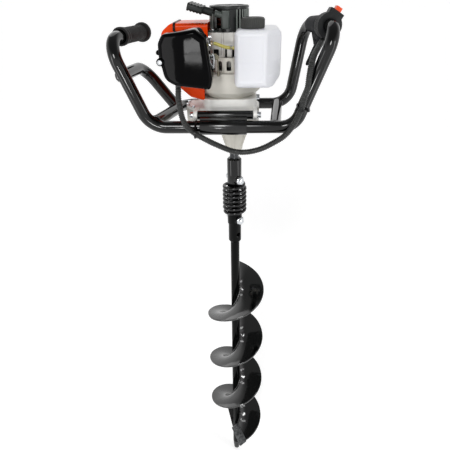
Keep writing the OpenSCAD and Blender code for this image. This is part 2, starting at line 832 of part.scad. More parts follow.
// Clutch housing: flat cover over the gear case, with the square clutch bell on top
bell_w = fan_d - 18;
drum_r = 41;
module clutch_housing() {
  color("#cfcdc8")
    difference() {
      union() {
        translate([0, 0, z_case1])
          linear_extrude(height = plate_t)
            lobes(0, case_r, counter_x, lobe_r);
        translate([engine_x, 0, z_case1])
          linear_extrude(height = z_clutch1 - z_case1)
            rounded_rect(bell_w, 2 * case_r, 24);
        for (e = [-1, 1], k = [0, 1])
          translate([k == 0 ? bush_x[0] - gap - lug_t : bush_x[1] + gap, 0, 0]) {
            translate([0, e * bush_y, bush_z])
              rotate([0, 90, 0])
                cylinder(r = bush_r + 1, h = lug_t);
            translate([0, min(e * bush_y, e * 38), z_case1 + slip])
              cube([lug_t, bush_y - 38, bush_z + 7 - z_case1]);
          }
        for (a = [45, 135, 225, 315])
          translate([engine_x + 47 * cos(a), 44 * sin(a), z_case1])
            cylinder(r = 8, h = z_clutch1 - z_case1);
      }
      translate([engine_x, 0, z_plate1])
        cylinder(r = drum_r + 2, h = 100);
      translate([engine_x, 0, z_case1 - 1])
        cylinder(r = drum_bush_r, h = plate_t + 2);
      translate([counter_x, 0, z_case1 - 1])
        cylinder(r = counter_bush_r, h = plate_t - 1);
      for (a = screw_angles)
        translate([counter_x, 0, z_case1 - 9])
          rotate(a)
            translate([screw_r, 0, 0])
              cylinder(r = screw_shank_r + slip, h = 20);
      for (e = [-1, 1])
        translate([bush_x[0] - 20, e * bush_y, bush_z])
          rotate([0, 90, 0])
            cylinder(r = mount_bolt_d / 2 + slip, h = bush_x[1] - bush_x[0] + 40);
    }
}

module clutch_drum() {
  drum_h = clutch_h - 4;
  color("#8b8d90")
    translate([engine_x, 0, 0]) {
      translate([0, 0, z_plate1 + 1])
        difference() {
          cylinder(r = drum_r, h = drum_h);
          translate([0, 0, 3])
            cylinder(r = drum_r - 2, h = drum_h);
        }
      translate([0, 0, z_counter0 + gear_w])
        cylinder(r = drum_shaft_r, h = z_plate1 + 2 - z_counter0 - gear_w);
      translate([0, 0, z_counter0 - 0.5])
        linear_extrude(height = gear_w + 1)
          rotate(180)
            gear_outline(pinion_teeth, pinion_shift, pinion_tip);
    }
}

module countershaft() {
  color("#8f9195")
    translate([counter_x, 0, 0]) {
      translate([0, 0, z_case0 + 2 + gap])
        cylinder(r = counter_shaft_r, h = z_plate1 - z_case0 - 4 - 2 * gap);
      translate([0, 0, z_gear0 - 0.5])
        linear_extrude(height = gear_w + 1)
          gear_outline(pinion_teeth, pinion_shift, pinion_tip);
      translate([0, 0, z_counter0])
        linear_extrude(height = gear_w)
          rotate(180 / counter_teeth)
            gear_outline(counter_teeth, -pinion_shift, 1);
    }
}

gear_hex_r = shaft_d / 2 + 1.5;
module output_gear() {
  color("#8f9195")
    translate([0, 0, z_gear0])
      linear_extrude(height = gear_w)
        difference() {
          rotate(180 / output_teeth)
            gear_outline(output_teeth, -pinion_shift, 1);
          circle(r = gear_hex_r, $fn = 6);
          for (i = [0:5])
            rotate(60 * i)
              translate([output_r * 0.6, 0])
                circle(r = 6, $fn = 8);
        }
}

module output_shaft() {
  color("#3a3b3d")
    difference() {
      union() {
        translate([0, 0, z_upper0 + 9])
          cylinder(r = shaft_d / 2, h = z_gear0 - z_upper0 - 9);
        translate([0, 0, z_gear0])
          cylinder(r = gear_hex_r, h = gear_w, $fn = 6);
      }
      translate([0, 0, upper_bolt_z])
        orient([cos(bolt_az), sin(bolt_az), 0])
          cylinder(r = bolt_r + slip, h = 80, center = true);
    }
}

module cross_hole(z, r) {
  translate([0, 0, z])
    orient([cos(bolt_az), sin(bolt_az), 0])
      cylinder(r = r, h = 120, center = true);
}

// Upper socket: sleeve on the output shaft, guide spigot below it
module upper_socket() {
  r = upper_socket_d / 2;
  spigot_low = z_lower1 - 12;
  color("#161719")
    difference() {
      union() {
        translate([0, 0, z_upper0])
          rotate_extrude()
            polygon([[0, 0], [r - 1, 0], [r, 1], [r, upper_socket_len - 3],
              [r - 3, upper_socket_len], [0, upper_socket_len]]);
        translate([0, 0, upper_bolt_z])
          orient([cos(bolt_az), sin(bolt_az), 0])
            translate([0, 0, r - 8])
              cylinder(r = boss_r, h = boss_reach - r + 8);
        translate([0, 0, spigot_low])
          cylinder(r = spigot_d / 2, h = z_upper0 - spigot_low + 1);
      }
      translate([0, 0, z_upper0 + 9 - slip])
        cylinder(r = shaft_d / 2 + slip, h = upper_socket_len);
      cross_hole(upper_bolt_z, bolt_r + slip);
    }
}

// Cross bolt with a flanged head in front and a nut behind
module coupling_bolt(z, back) {
  color("#d4d6d8")
    translate([0, 0, z])
      orient([cos(bolt_az), sin(bolt_az), 0]) {
        translate([0, 0, -back - 9])
          cylinder(r = bolt_r, h = back + 9 + boss_reach + 2);
        translate([0, 0, boss_reach])
          rotate_extrude()
            polygon([[0, 0], [head_r, 0], [head_r, 2], [head_r - 2, 4], [0, 4]]);
        translate([0, 0, boss_reach + 3])
          cylinder(r = head_r - 2, h = head_t - 3, $fn = 6);
        translate([0, 0, -back - 7])
          cylinder(r = head_r - 1, h = 7, $fn = 6);
      }
}
module upper_coupling_bolt() {
  coupling_bolt(upper_bolt_z, upper_socket_d / 2);
}
module lower_coupling_bolt() {
  coupling_bolt(lower_bolt_z, lower_collar_d / 2);
}

// Coupling spring: one wire, its end turns drawn in onto the two sockets
spring_low = lower_bolt_z + boss_r + spring_wire / 2 + 1.5;
spring_high = z_upper0 + 7;
spring_mean = (spring_d - spring_wire) / 2;
spring_start = 60;
spring_rings = 8 * spring_turns;
end_turns = 0.75;
function smooth(t) = let (c = max(0, min(1, t))) c * c * (3 - 2 * c);
function spring_point(k) = let (
    f = k / 8, a = spring_start + 360 * f,
    low = (lower_collar_d / 2 + spring_wire / 2 + gap) / cos(22.5),
    high = (upper_socket_d / 2 + spring_wire / 2 + gap) / cos(22.5),
    r = spring_mean - (spring_mean - low) * (1 - smooth(f / end_turns))
      - (spring_mean - high) * (1 - smooth((spring_turns - f) / end_turns)))
  [r * cos(a), r * sin(a), spring_low + (spring_high - spring_low) * k / spring_rings];
spring_path = [for (k = [0:spring_rings]) spring_point(k)];
spring_least_gap = min([for (i = [0:spring_rings]) for (j = [i + 4:1:spring_rings])
  norm(spring_path[i] - spring_path[j])]) - spring_wire;
echo(spring_least_gap = spring_least_gap);
module coupling_spring() {
  color("#18191b")
    swept_tube(spring_path, [for (p = spring_path) spring_wire / 2], 6, [0, 0, 1]);
}

// Lower socket: collar in the spring, sleeve on the drill rod below it
module lower_socket() {
  r = lower_socket_d / 2;
  rc = lower_collar_d / 2;
  color("#161719")
    difference() {
      union() {
        translate([0, 0, z_lower0])
          rotate_extrude()
            polygon([[0, 0], [r - 2, 0], [r, 3], [r, collar_step_z - z_lower0],
              [rc, collar_step_z - z_lower0 + 1], [rc, lower_socket_len - 1],
              [rc - 1, lower_socket_len], [0, lower_socket_len]]);
        translate([0, 0, lower_bolt_z])
          orient([cos(bolt_az), sin(bolt_az), 0])
            translate([0, 0, rc - 8])
              cylinder(r = boss_r, h = boss_reach - rc + 8);
      }
      translate([0, 0, z_lower0 - 1])
        cylinder(r = rod_d / 2 + slip, h = rod_insert + 1.5);
      translate([0, 0, z_lower0 + 1])
        cylinder(r = spigot_d / 2 + slip, h = lower_socket_len);
      cross_hole(lower_bolt_z, bolt_r + slip);
      cross_hole(spare_hole_z, spare_hole_d / 2);
    }
}

module drill_rod() {
  color("#121314")
    difference() {
      union() {
        translate([0, 0, pilot_len])
          cylinder(r = rod_d / 2, h = drill_len - pilot_len);
        rotate(180)
          translate([rod_d / 2 - 1, 2.5, flight_low])
            rotate([90, 0, 0])
              linear_extrude(height = 5)
                polygon([[0, -26], [2.5, -26], [18, 68], [0, 68]]);
      }
      cross_hole(lower_bolt_z, bolt_r + slip);
      cross_hole(spare_hole_z, spare_hole_d / 2);
    }
}

// Helical flight: a plate of one thickness wound round the rod
flight_start = -66;
flight_steps = 48;
module drill_flight() {
  n = round(flight_turns * flight_steps);
  ri = rod_d / 2 + slip;
  ro = flight_d / 2;
  pts = flatten([for (i = [0:n]) let (a = flight_start + 360 * flight_turns * i / n,
      z = flight_low + flight_pitch * flight_turns * i / n)
    [[ri * cos(a), ri * sin(a), z], [ro * cos(a), ro * sin(a), z],
      [ro * cos(a), ro * sin(a), z + flight_t], [ri * cos(a), ri * sin(a), z + flight_t]]]);
  walls = [for (i = [0:n - 1]) for (k = [0:3]) let (a = 4 * i + k, b = 4 * i + (k + 1) % 4)
    each [[a, b + 4, a + 4], [a, b, b + 4]]];
  color("#1c1d1f")
    polyhedron(points = pts, faces = concat(walls, [[0, 2, 1], [0, 3, 2]],
      [[4 * n, 4 * n + 1, 4 * n + 2], [4 * n, 4 * n + 2, 4 * n + 3]]), convexity = 10);
}

// Cutter bar welded to the leading edge of the flight
module cutter_bar() {
  drop = cutter_w * 0.55;
  color("#77797c")
    rotate(flight_start)
      translate([rod_d / 2 + slip, 0, flight_low])
        rotate([90, 0, 90])
          linear_extrude(height = cutter_len)
            polygon([[-slip, flight_t], [-slip, flight_t - cutter_t], [-cutter_w * 0.8, -drop],
              [-cutter_w, flight_t - 2 - drop]]);
}

// Pilot point: rounded nose under the rod
module pilot_point() {
  r = rod_d / 2;
  nose = 8;
  color("#6d6e70")
    rotate_extrude()
      polygon([[0, 0], [nose * 0.6, 1.5], [nose, 6], [nose + 1.5, 18], [r, pilot_len], [0, pilot_len]]);
}

// Fan housing: drum on a cone, with the arched grille collar above it
collar_r = 47;
collar_t = 4;
cone_h = 13;
fan_r = fan_d / 2;
module fan_housing() {
  color("#c4c1b8")
    translate([engine_x, 0, z_clutch1])
      difference() {
        rotate_extrude()
          polygon([[44, 0], [50, 0], [fan_r, cone_h], [fan_r, fan_h], [collar_r, fan_h],
            [collar_r, fan_h + collar_h], [collar_r - collar_t, fan_h + collar_h],
            [collar_r - collar_t, fan_h - 4], [fan_r - 4, fan_h - 4], [fan_r - 4, cone_h + 2],
            [47, 4], [44, 4]]);
        for (i = [0:15])
          rotate(22.5 * i)
            translate([collar_r, 0, fan_h + 4]) {
              translate([-10, -4.5, 0])
                cube([20, 9, 14]);
              translate([-10, 0, 14])
                rotate([0, 90, 0])
                  cylinder(r = 4.5, h = 20);
            }
      }
}

// Flywheel on the crankshaft, with its fan blades
module flywheel() {
  hub_z = z_clutch1 + 9;
  color("#85878a")
    translate([engine_x, 0, hub_z])
      difference() {
        union() {
          cylinder(r = 46, h = 6);
          cylinder(r = 14, h = 24);
          for (i = [0:15])
            rotate(22.5 * i)
              translate([20, -1.2, 5])
                cube([fan_r - 29, 2.4, 22]);
        }
        translate([0, 0, -1])
          cylinder(r = crank_shaft_r + slip, h = 40);
        for (i = [0, 1])
          rotate(180 * i)
            translate([shoe_pivot_r, 0, -1])
              cylinder(r = shoe_pin_r + slip, h = 20);
      }
}
shoe_pivot_r = 28;
shoe_pin_r = 4;

// Clutch shoes hung from the flywheel inside the drum
module clutch_shoes() {
  r = drum_r - 2 - 1;
  z0 = z_plate1 + 5;
  h = 11;
  color("#6f675c")
    translate([engine_x, 0, z0])
      for (i = [0, 1])
        rotate(180 * i) {
          linear_extrude(height = h)
            intersection() {
              difference() {
                circle(r = r);
                circle(r = 16);
              }
              polygon([[0, 0], [60, -46], [60, 46]]);
            }
          translate([shoe_pivot_r, 0, h - 1])
            cylinder(r = shoe_pin_r, h = z_clutch1 + 14 - z0 - h);
        }
}

// Crankcase: square block on the grille collar, open to the cylinder on the left
crank_cavity_r = web_r + 3;
bearing_h = 8;
bearing_r = 16;
crank_low = 22;
z_web0 = z_cyl - web_gap / 2 - web_t;
z_web1 = z_cyl + web_gap / 2 + web_t;
cyl_spigot_r = bore_d / 2 + 2;
module crankcase() {
  color("#c8c6c0")
    difference() {
      union() {
        translate([engine_x, 0, z_crank0])
          linear_extrude(height = crankcase_h)
            rounded_rect(crankcase_w, crankcase_w, 16);
        translate([engine_x, 0, z_crank0 - crank_low])
          cylinder(r = bearing_r + 7, h = crank_low + 1);
        for (a = [45, 135, 225, 315])
          translate([engine_x + 44 * cos(a), 44 * sin(a), z_crank0])
            cylinder(r = 7, h = crankcase_h);
        for (x = [-14, 10])
          translate([engine_x + x, -crankcase_w / 2 - 2, z_crank0 + 2])
            cube([4, 6, crankcase_h - 2]);
      }
      translate([engine_x, 0, z_web0 - 2.5])
        cylinder(r = crank_cavity_r, h = z_web1 - z_web0 + 5);
      translate([engine_x, 0, z_crank0 - crank_low - 1])
        cylinder(r = crank_shaft_r + 1, h = 200);
      translate([engine_x, 0, z_crank0 - crank_low + 6])
        cylinder(r = bearing_r, h = z_web0 - z_crank0 + crank_low - 7);
      translate([engine_x, 0, z_web1 + 1])
        cylinder(r = bearing_r, h = 40);
      translate([engine_x, 0, z_cyl])
        rotate([0, -90, 0])
          cylinder(r = cyl_spigot_r + slip, h = 100);
    }
}

module crank_bearings() {
  color("#b8bcc2")
    translate([engine_x, 0, 0]) {
      translate([0, 0, z_crank0 - crank_low + 6])
        ring(bearing_r - running, crank_shaft_r + running, z_web0 - z_crank0 + crank_low - 8);
      translate([0, 0, z_web1 + 2])
        ring(bearing_r - running, crank_shaft_r + running, z_crank1 - z_web1 - 2);
    }
}

// Crankshaft with its crank pin towards the cylinder
module crankshaft() {
  color("#9a9c9f")
    translate([engine_x, 0, 0]) {
      translate([0, 0, z_clutch1 + 2])
        cylinder(r = crank_shaft_r, h = z_web0 + 1 - z_clutch1 - 2);
      translate([0, 0, z_web1 - 1])
        cylinder(r = crank_shaft_r, h = z_crank1 + 6 - z_web1 + 1);
      translate([0, 0, z_web0])
        cylinder(r = web_r, h = web_t);
      translate([0, 0, z_web1 - web_t])
        cylinder(r = web_r, h = web_t);
      translate([-crank_r, 0, z_web0 + 1])
        cylinder(r = crankpin_r, h = z_web1 - z_web0 - 2);
    }
}

module connecting_rod() {
  h = web_gap - 2;
  color("#a7a9ab")
    translate([engine_x - crank_r, 0, z_cyl - h / 2])
      difference() {
        union() {
          cylinder(r = crankpin_r + 4, h = h);
          translate([-rod_len, 0, 0])
            cylinder(r = wrist_r + 3.5, h = h);
          translate([-rod_len, -4, 1])
            cube([rod_len, 8, h - 2]);
        }
        translate([0, 0, -1])
          cylinder(r = crankpin_r + running, h = h + 2);
        translate([-rod_len, 0, -1])
          cylinder(r = wrist_r + running, h = h + 2);
      }
}

// Piston at the top of its stroke, with its pin
module piston() {
  color("#b4b6b8")
    translate([wrist_x, 0, z_cyl]) {
      difference() {
        rotate([0, -90, 0])
          translate([0, 0, -piston_skirt])
            cylinder(r = piston_r, h = piston_skirt + piston_crown);
        rotate([0, -90, 0])
          translate([0, 0, -piston_skirt - 1])
            cylinder(r = piston_r - 3, h = piston_skirt + piston_crown - 4);
        for (i = [0, 1])
          rotate([0, -90, 0])
            translate([0, 0, piston_crown - 4 - 4 * i])
              difference() {
                cylinder(r = piston_r + 1, h = 1.5);
                translate([0, 0, -1])
                  cylinder(r = piston_r - 1, h = 4);
              }
      }
      translate([0, 0, -piston_r + 2])
        cylinder(r = wrist_r, h = 2 * piston_r - 4);
    }
}

// Cylinder: barrel with round fins, intake boss in front, exhaust boss behind
fin_count = 8;
barrel_r = bore_d / 2 + 3.5;
port_bore_r = 9;
module cylinder_block() {
  translate([head_x - head_t_cyl, 0, z_cyl])
    rotate([0, 90, 0])
      children();
}
module cylinder_body() {
  long = cyl_face_x - head_x + head_t_cyl;
  color("#aeb0b1")
    difference() {
      union() {
        cylinder_block() {
          cylinder(r = barrel_r, h = long - slip);
        }
        cylinder_block() {
          cylinder(r = cyl_spigot_r, h = long + 9);
        }
        cylinder_block() {
          for (i = [0:fin_count - 1])
            translate([0, 0, 1 + i * fin_step])
              cylinder(r = fin_d / 2, h = fin_t);
        }
        translate([port_x, -port_y, z_cyl])
          rotate([-90, 0, 0])
            cylinder(r = port_r - 1, h = port_y - 10);
        translate([port_x - 6, port_y, z_cyl])
          rotate([90, 0, 0])
            cylinder(r = port_r - 1, h = port_y - 10);
      }
      translate([head_x, 0, z_cyl])
        rotate([0, 90, 0])
          cylinder(r = bore_d / 2, h = 200);
      translate([head_x - head_t_cyl - 1, 0, z_cyl])
        rotate([0, 90, 0])
          cylinder(r = 6, h = 40);
      translate([port_x, -port_y - 1, z_cyl])
        rotate([-90, 0, 0])
          cylinder(r = port_bore_r, h = port_y);
      translate([port_x - 6, port_y + 1, z_cyl])
        rotate([90, 0, 0])
          cylinder(r = port_bore_r, h = port_y);
    }
}

module spark_plug() {
  color("#1b1b1b")
    cylinder_block() {
      rotate_extrude()
        polygon([[0, -31], [6, -31], [8, -28], [8, -10], [9, -10], [9, 0], [6 - slip, 0], [6 - slip, 15],
          [3, 15], [2, 17], [0, 17]]);
    }
}

// Shroud over the cylinder: open towards the crankcase
shroud_round = 14;
shroud_open = shroud_x1 + 30;
shroud_pts = [[shroud_open, shroud_z1], [-120, shroud_z1], [shroud_x0, shroud_z1 - 16],
  [shroud_x0, shroud_z1 - 82], [-104, shroud_z0 + 24], [-62, shroud_z0], [shroud_open, shroud_z0]];
module shroud() {
  inner = inset(shroud_pts, shroud_wall);
  color("#f0440f")
    difference() {
      rotate([90, 0, 0])
        linear_extrude(height = 2 * shroud_y, center = true)
          round_poly(shroud_pts, shroud_round);
      rotate([90, 0, 0])
        linear_extrude(height = 2 * (shroud_y - shroud_wall), center = true)
          round_poly(inner, shroud_round - shroud_wall);
      translate([shroud_x1 - 10, -shroud_y - 1, shroud_z0 - 1])
        cube([60, 2 * shroud_y + 2, 56]);
      translate([shroud_x1, -shroud_y - 1, shroud_z0 - 1])
        cube([60, 2 * shroud_y + 2, shroud_z1 - shroud_z0 + 2]);
      translate([engine_x, 0, z_clutch1 - 20])
        cylinder(r = fan_r + gap, h = fan_h + 20 + gap);
      translate([engine_x, 0, z_case1])
        linear_extrude(height = z_clutch1 - z_case1 + gap)
          rounded_rect(bell_w + 2 * gap, 2 * case_r + 2 * gap, 24);
      translate([port_x, 0, z_cyl])
        rotate([90, 0, 0])
          cylinder(r = port_r, h = 100);
      translate([port_x - 6, 0, z_cyl])
        rotate([-90, 0, 0])
          cylinder(r = port_r, h = 100);
      for (i = [0:4])
        translate([shroud_x0 - 5, -24 + i * 12 - 3, shroud_z1 - 70])
          cube([12, 6, 46]);
    }
}

// Muffler behind the cylinder
muffler_x = [-114, -40];
module muffler() {
  y0 = port_y + slip;
  color("#3a3a3b")
    difference() {
      union() {
        translate([mid(muffler_x[0], muffler_x[1]), y0, z_cyl - 8])
          rotate([-90, 0, 0])
            linear_extrude(height = 40)
              rounded_rect(muffler_x[1] - muffler_x[0], 72, 12);
        translate([muffler_x[0] + 14, y0 + 22, z_cyl - 8 - 34])
          rotate([180, 0, 0])
            cylinder(r = 7, h = 12);
      }
      translate([mid(muffler_x[0], muffler_x[1]), y0 + 2, z_cyl - 8])
        rotate([-90, 0, 0])
          linear_extrude(height = 36)
            rounded_rect(muffler_x[1] - muffler_x[0] - 4, 68, 10);
      translate([port_x - 6, y0 - 1, z_cyl])
        rotate([-90, 0, 0])
          cylinder(r = port_bore_r, h = 10);
      translate([muffler_x[0] + 14, y0 + 22, z_cyl - 60])
        cylinder(r = 5, h = 30);
    }
}

module intake_insulator() {
  color("#4a3527")
    translate([port_x, -port_y - slip, z_cyl])
      rotate([90, 0, 0])
        difference() {
          linear_extrude(height = insulator_t - 2 * slip)
            rounded_rect(38, 28, 6);
          translate([0, 0, -1])
            cylinder(r = port_bore_r, h = insulator_t + 2);
        }
}

// Carburettor block: float bowl below, lever shafts through it
carb_w = 40;
shaft_y = carb_y1 - 12;
choke_y = carb_y1 - 28;
carb_x1 = port_x + carb_w / 2;
carb_shaft_r = 2.5;
throttle_z = z_cyl - 16;
choke_z = z_cyl + 5;
module carburettor() {
  color("#b9b6ad")
    difference() {
      union() {
        translate([port_x - carb_w / 2, filter_y1 + slip, z_cyl - 20])
          cube([carb_w, carb_len - 2 * slip, 32]);
        translate([port_x, mid(carb_y1, filter_y1), z_cyl - 32])
          cylinder(r = 14, h = 14);
        translate([carb_x1 - 1, shaft_y, throttle_z])
          rotate([0, 90, 0])
            cylinder(r = 5, h = 4);
      }
      translate([port_x, carb_y1 + 1, z_cyl])
        rotate([90, 0, 0])
          cylinder(r = port_bore_r, h = carb_len + 2);
      translate([carb_x1 - 12, shaft_y, throttle_z])
        rotate([0, 90, 0])
          cylinder(r = carb_shaft_r + slip, h = 40);
      translate([carb_x1 - 12, choke_y, choke_z])
        rotate([0, 90, 0])
          cylinder(r = carb_shaft_r + slip, h = 40);
      translate([carb_x1 - 6, -75, z_cyl + 8])
        rotate([0, 90, 0])
          cylinder(r = hose_r - slip, h = 20);
    }
}
hose_r = 3.2;

module carb_lever(y, z, x0, arm, angle) {
  translate([x0, y, z])
    rotate([angle, 0, 0])
      union() {
        translate([-9, 0, 0])
          rotate([0, 90, 0])
            cylinder(r = carb_shaft_r, h = 12);
        rotate([0, 90, 0])
          cylinder(r = 6, h = 3);
        translate([0, -2.5, -arm])
          cube([3, 5, arm]);
        translate([0, 0, -arm])
          rotate([0, 90, 0])
            cylinder(r = 3.5, h = 5);
      }
}
module carb_throttle_lever() {
  color("#b7babd")
    carb_lever(shaft_y, throttle_z, carb_x1 + 3 + gap, 19, 15);
}
module choke_lever() {
  color("#8d9093")
    carb_lever(choke_y, choke_z, carb_x1 + gap, 16, 195);
}

// Air filter: base plate, foam element, gloss cover with a folded left side
fold_x = -89;
fold_depth = 16;
cover_round = 10;
module filter_outline(d) {
  round_poly(inset(cover_pts, d), max(1, cover_round - d));
}
module cover_side(d) {
  translate([0, 0, z_cyl - 100])
    linear_extrude(height = 200)
      polygon([[-30, cover_y1 + 1], [-140, cover_y1 + 1], [-140, cover_y0 + fold_depth + 6 + d],
        [fold_x, cover_y0 + d], [-30, cover_y0 + d]]);
}
module air_filter_base() {
  color("#101113")
    difference() {
      translate([0, filter_y1 - slip, 0])
        rotate([90, 0, 0])
          linear_extrude(height = base_t - 2 * slip)
            filter_outline(1);
      translate([port_x, filter_y1 + 1, z_cyl])
        rotate([90, 0, 0])
          cylinder(r = port_bore_r, h = base_t + 2);
    }
}
module air_filter_element() {
  color("#4d4a44")
    difference() {
      translate([0, cover_y1 - slip, 0])
        rotate([90, 0, 0])
          linear_extrude(height = filter_depth - 24)
            filter_outline(9);
      translate([port_x, cover_y1 + 1, z_cyl])
        rotate([90, 0, 0])
          cylinder(r = 14, h = 16);
    }
}
module air_filter_cover() {
  color("#0b0c0e")
    difference() {
      union() {
        intersection() {
          translate([0, cover_y1, 0])
            rotate([90, 0, 0])
              linear_extrude(height = filter_depth)
                filter_outline(0);
          cover_side(0);
        }
        translate([cover_screw[0], cover_y1, cover_screw[1]])
          rotate([90, 0, 0])
            cylinder(r = 7, h = cover_y1 - cover_boss_y);
      }
      intersection() {
        translate([0, cover_y1 + 1, 0])
          rotate([90, 0, 0])
            linear_extrude(height = filter_depth)
              filter_outline(cover_wall);
        cover_side(cover_wall);
      }
    }
}

// Small screws: gear case lobe, starter feet, filter cover
module housing_screws() {
  color("#cfd2d5") {
    for (a = screw_angles)
      translate([counter_x, 0, z_plate1])
        rotate(a)
          translate([screw_r, 0, 0]) {
            translate([0, 0, -plate_t - 8])
              cylinder(r = screw_shank_r, h = plate_t + 9);
            cylinder(r = 3.6, h = 3);
          }
    for (a = [45, 135, 225, 315])
      translate([engine_x + 44 * cos(a), 44 * sin(a), z_crank1 + foot_t])
        cylinder(r = 4, h = 3);
    translate([cover_screw[0], cover_boss_y, cover_screw[1]])
      rotate([90, 0, 0])
        cylinder(r = 4.5, h = 3);
  }
}
foot_t = 3;

// Outline with round corners, as one polygon
arc_n = 6;
function arc_corner(a, b, c, r) = let (
    u = unit(a - b), v = unit(c - b), half = acos(u * v) / 2,
    q = b + unit(u + v) * r / sin(half), s = b + u * r / tan(half) - q,
    e = cross(b - a, c - b) < 0 ? -1 : 1, turn = e * (180 - 2 * half))
  [for (k = [0:arc_n]) let (t = turn * k / arc_n)
    q + [s[0] * cos(t) - s[1] * sin(t), s[0] * sin(t) + s[1] * cos(t)]];
function round_pts(p, r) = let (n = len(p))
  flatten([for (i = [0:n - 1]) arc_corner(p[(i + n - 1) % n], p[i], p[(i + 1) % n], r)]);
module round_poly(pts, r) {
  polygon(round_pts(pts, r));
}

// Fuel tank: hollow, its edges rounded from three sides, its lower right corner drawn in
tank_back = -46;
pad_t = 2.4;
side_x0 = engine_x + fan_r + 2.5;
side_y1 = 20;
tank_fold = 58;
tank_corner = [15, 18];
module tank_shape(d) {
  r = tank_round - d;
  plan = [[tank_x0, tank_y0], [tank_x0 + tank_fold, tank_y0], [tank_x1, tank_y0 + 42],
    [tank_x1, side_y1], [side_x0, side_y1], [side_x0, tank_back], [tank_x0, tank_back]];
  face = [[tank_x0, tank_z0], [tank_x1 - tank_corner[0], tank_z0], [tank_x1, tank_z0 + tank_corner[1]],
    [tank_x1, tank_z1], [tank_x0, tank_z1]];
  profile = [[tank_y0, tank_z0], [side_y1, tank_z0], [side_y1, tank_z1], [tank_y0, tank_z1]];
  difference() {
    intersection() {
      translate([0, 0, tank_z0 - 5])
        linear_extrude(height = tank_h + 10)
          round_poly(inset(plan, d), r);
      translate([0, side_y1 + 5, 0])
        rotate([90, 0, 0])
          linear_extrude(height = side_y1 - tank_y0 + 10)
            round_poly(inset(face, d), r);
      translate([tank_x0 - 5, 0, 0])
        rotate([90, 0, 90])
          linear_extrude(height = tank_w + 10)
            round_poly(inset(profile, d), r);
    }
    translate([engine_x, 0, tank_z0 - 1])
      cylinder(r = fan_r + pad_t + d, h = z_fan1 + 3 + d - tank_z0);
  }
}
module fuel_tank() {
  color("#eceef2")
    difference() {
      union() {
        tank_shape(0);
        translate([cap_x, cap_y, tank_z1 - 3])
          cylinder(r = neck_r, h = 15);
      }
      tank_shape(2.5);
      translate([cap_x, cap_y, tank_z1 - 8])
        cylinder(r = neck_r - 3, h = 40);
      translate([tank_x0 - 3, -75, z_cyl - 1])
        rotate([0, 90, 0])
          cylinder(r = hose_r + slip, h = 10);
    }
}

module fuel_cap() {
  z0 = tank_z1 + gap;
  color("#2a2b2c")
    translate([cap_x, cap_y, z0])
      difference() {
        union() {
          cylinder(r = cap_d / 2 - 1, h = cap_h);
          for (i = [0:23])
            rotate(15 * i)
              translate([cap_d / 2 - 3, -1.5, 0])
                cube([3, 3, cap_h - 2]);
        }
        translate([0, 0, -1])
          cylinder(r = neck_r + running, h = 14);
      }
}

module tank_mounts() {
  color("#2c2d2e") {
    intersection() {
      translate([20, -70, tank_z0])
        cube([18, 40, 40]);
      translate([engine_x, 0, tank_z0 + 5])
        ring(fan_r + pad_t - slip, fan_r + slip, 10);
    }
    translate([engine_x + crankcase_w / 2 + slip, -18, z_cyl - 8])
      cube([side_x0 - engine_x - crankcase_w / 2 - 2 * slip, 16, 16]);
  }
}

module fuel_hose() {
  a = [carb_x1 - 6 + slip, -75, z_cyl + 8];
  b = [carb_x1 + 8, -75, z_cyl + 8];
  c = [tank_x0 - 12, -75, z_cyl - 1];
  d = [tank_x0 + 4, -75, z_cyl - 1];
  color("#b9ab2e")
    bent_pipe([a, b, c, d], [12, 12], hose_r - 2 * slip, hose_r - 1.4);
}

// Recoil starter: ribbed can on the crankcase, rope guide on its front
starter_r = starter_d / 2;
post_r = 6;
pulley_z = z_crank1 + 12;
pulley_h = 12;
pulley_r = 26;
module pull_line(s) {
  translate(pull_from + pull_u * s)
    orient(pull_u)
      rotate(90)
        children();
}
module starter_housing() {
  block_x = pull_from[0] - 6;
  color("#2f3532")
    difference() {
      union() {
        translate([engine_x, 0, z_crank1]) {
          cylinder(r = starter_r, h = starter_h);
          for (a = [45, 135, 225, 315])
            rotate(a)
              translate([34, -5.5, 0])
                cube([10, 11, foot_t]);
          for (a = [45, 135, 225, 315])
            translate([44 * cos(a), 44 * sin(a), 0])
              cylinder(r = 7, h = foot_t);
          for (i = [0:13])
            rotate(-60 + 20 * i)
              translate([starter_r - 1, -1.5, foot_t])
                cube([2.4, 3, starter_h - foot_t - 4]);
        }
        translate([block_x, -starter_r - 12, z_crank1 + 7])
          cube([15, 24, 32]);
        pull_line(4)
          cylinder(r = 5.5, h = 16);
      }
      translate([engine_x, 0, z_crank1 - 1])
        cylinder(r = starter_r - 3, h = starter_h - 2);
      pull_line(1)
        cylinder(r = rope_r + 0.5, h = 40);
    }
  color("#2f3532")
    translate([engine_x, 0, pulley_z - 2])
      cylinder(r = post_r, h = z_starter1 - 2 - pulley_z + 2);
}

module starter_pulley() {
  color("#4b4d4c")
    translate([engine_x, 0, pulley_z])
      rotate_extrude()
        polygon([[post_r + running, 0], [pulley_r + 3, 0], [pulley_r + 3, 2.5], [pulley_r - 2, 4.5],
          [pulley_r - 2, 7.5], [pulley_r + 3, 9.5], [pulley_r + 3, pulley_h],
          [post_r + running, pulley_h]]);
}

// Recoil spring: a flat strip wound from the post to the wall of the can
strip_t = 0.8;
strip_turns = 5;
function strip_edge(out) = let (r0 = post_r + gap, r1 = starter_r - 3 - gap - strip_t)
  [for (k = [0:20 * strip_turns]) let (a = 18 * k, r = r0 + out + (r1 - r0) * k / (20 * strip_turns))
    [r * cos(a), r * sin(a)]];
module recoil_spring() {
  inner = strip_edge(0);
  outer = strip_edge(strip_t);
  last = len(outer) - 1;
  color("#77797b")
    translate([engine_x, 0, pulley_z + pulley_h + 2])
      linear_extrude(height = 10)
        polygon(concat(inner, [for (k = [0:last]) outer[last - k]]));
}

module starter_rope() {
  color("#3b3b3b")
    pull_line(2)
      cylinder(r = rope_r, h = 38);
}

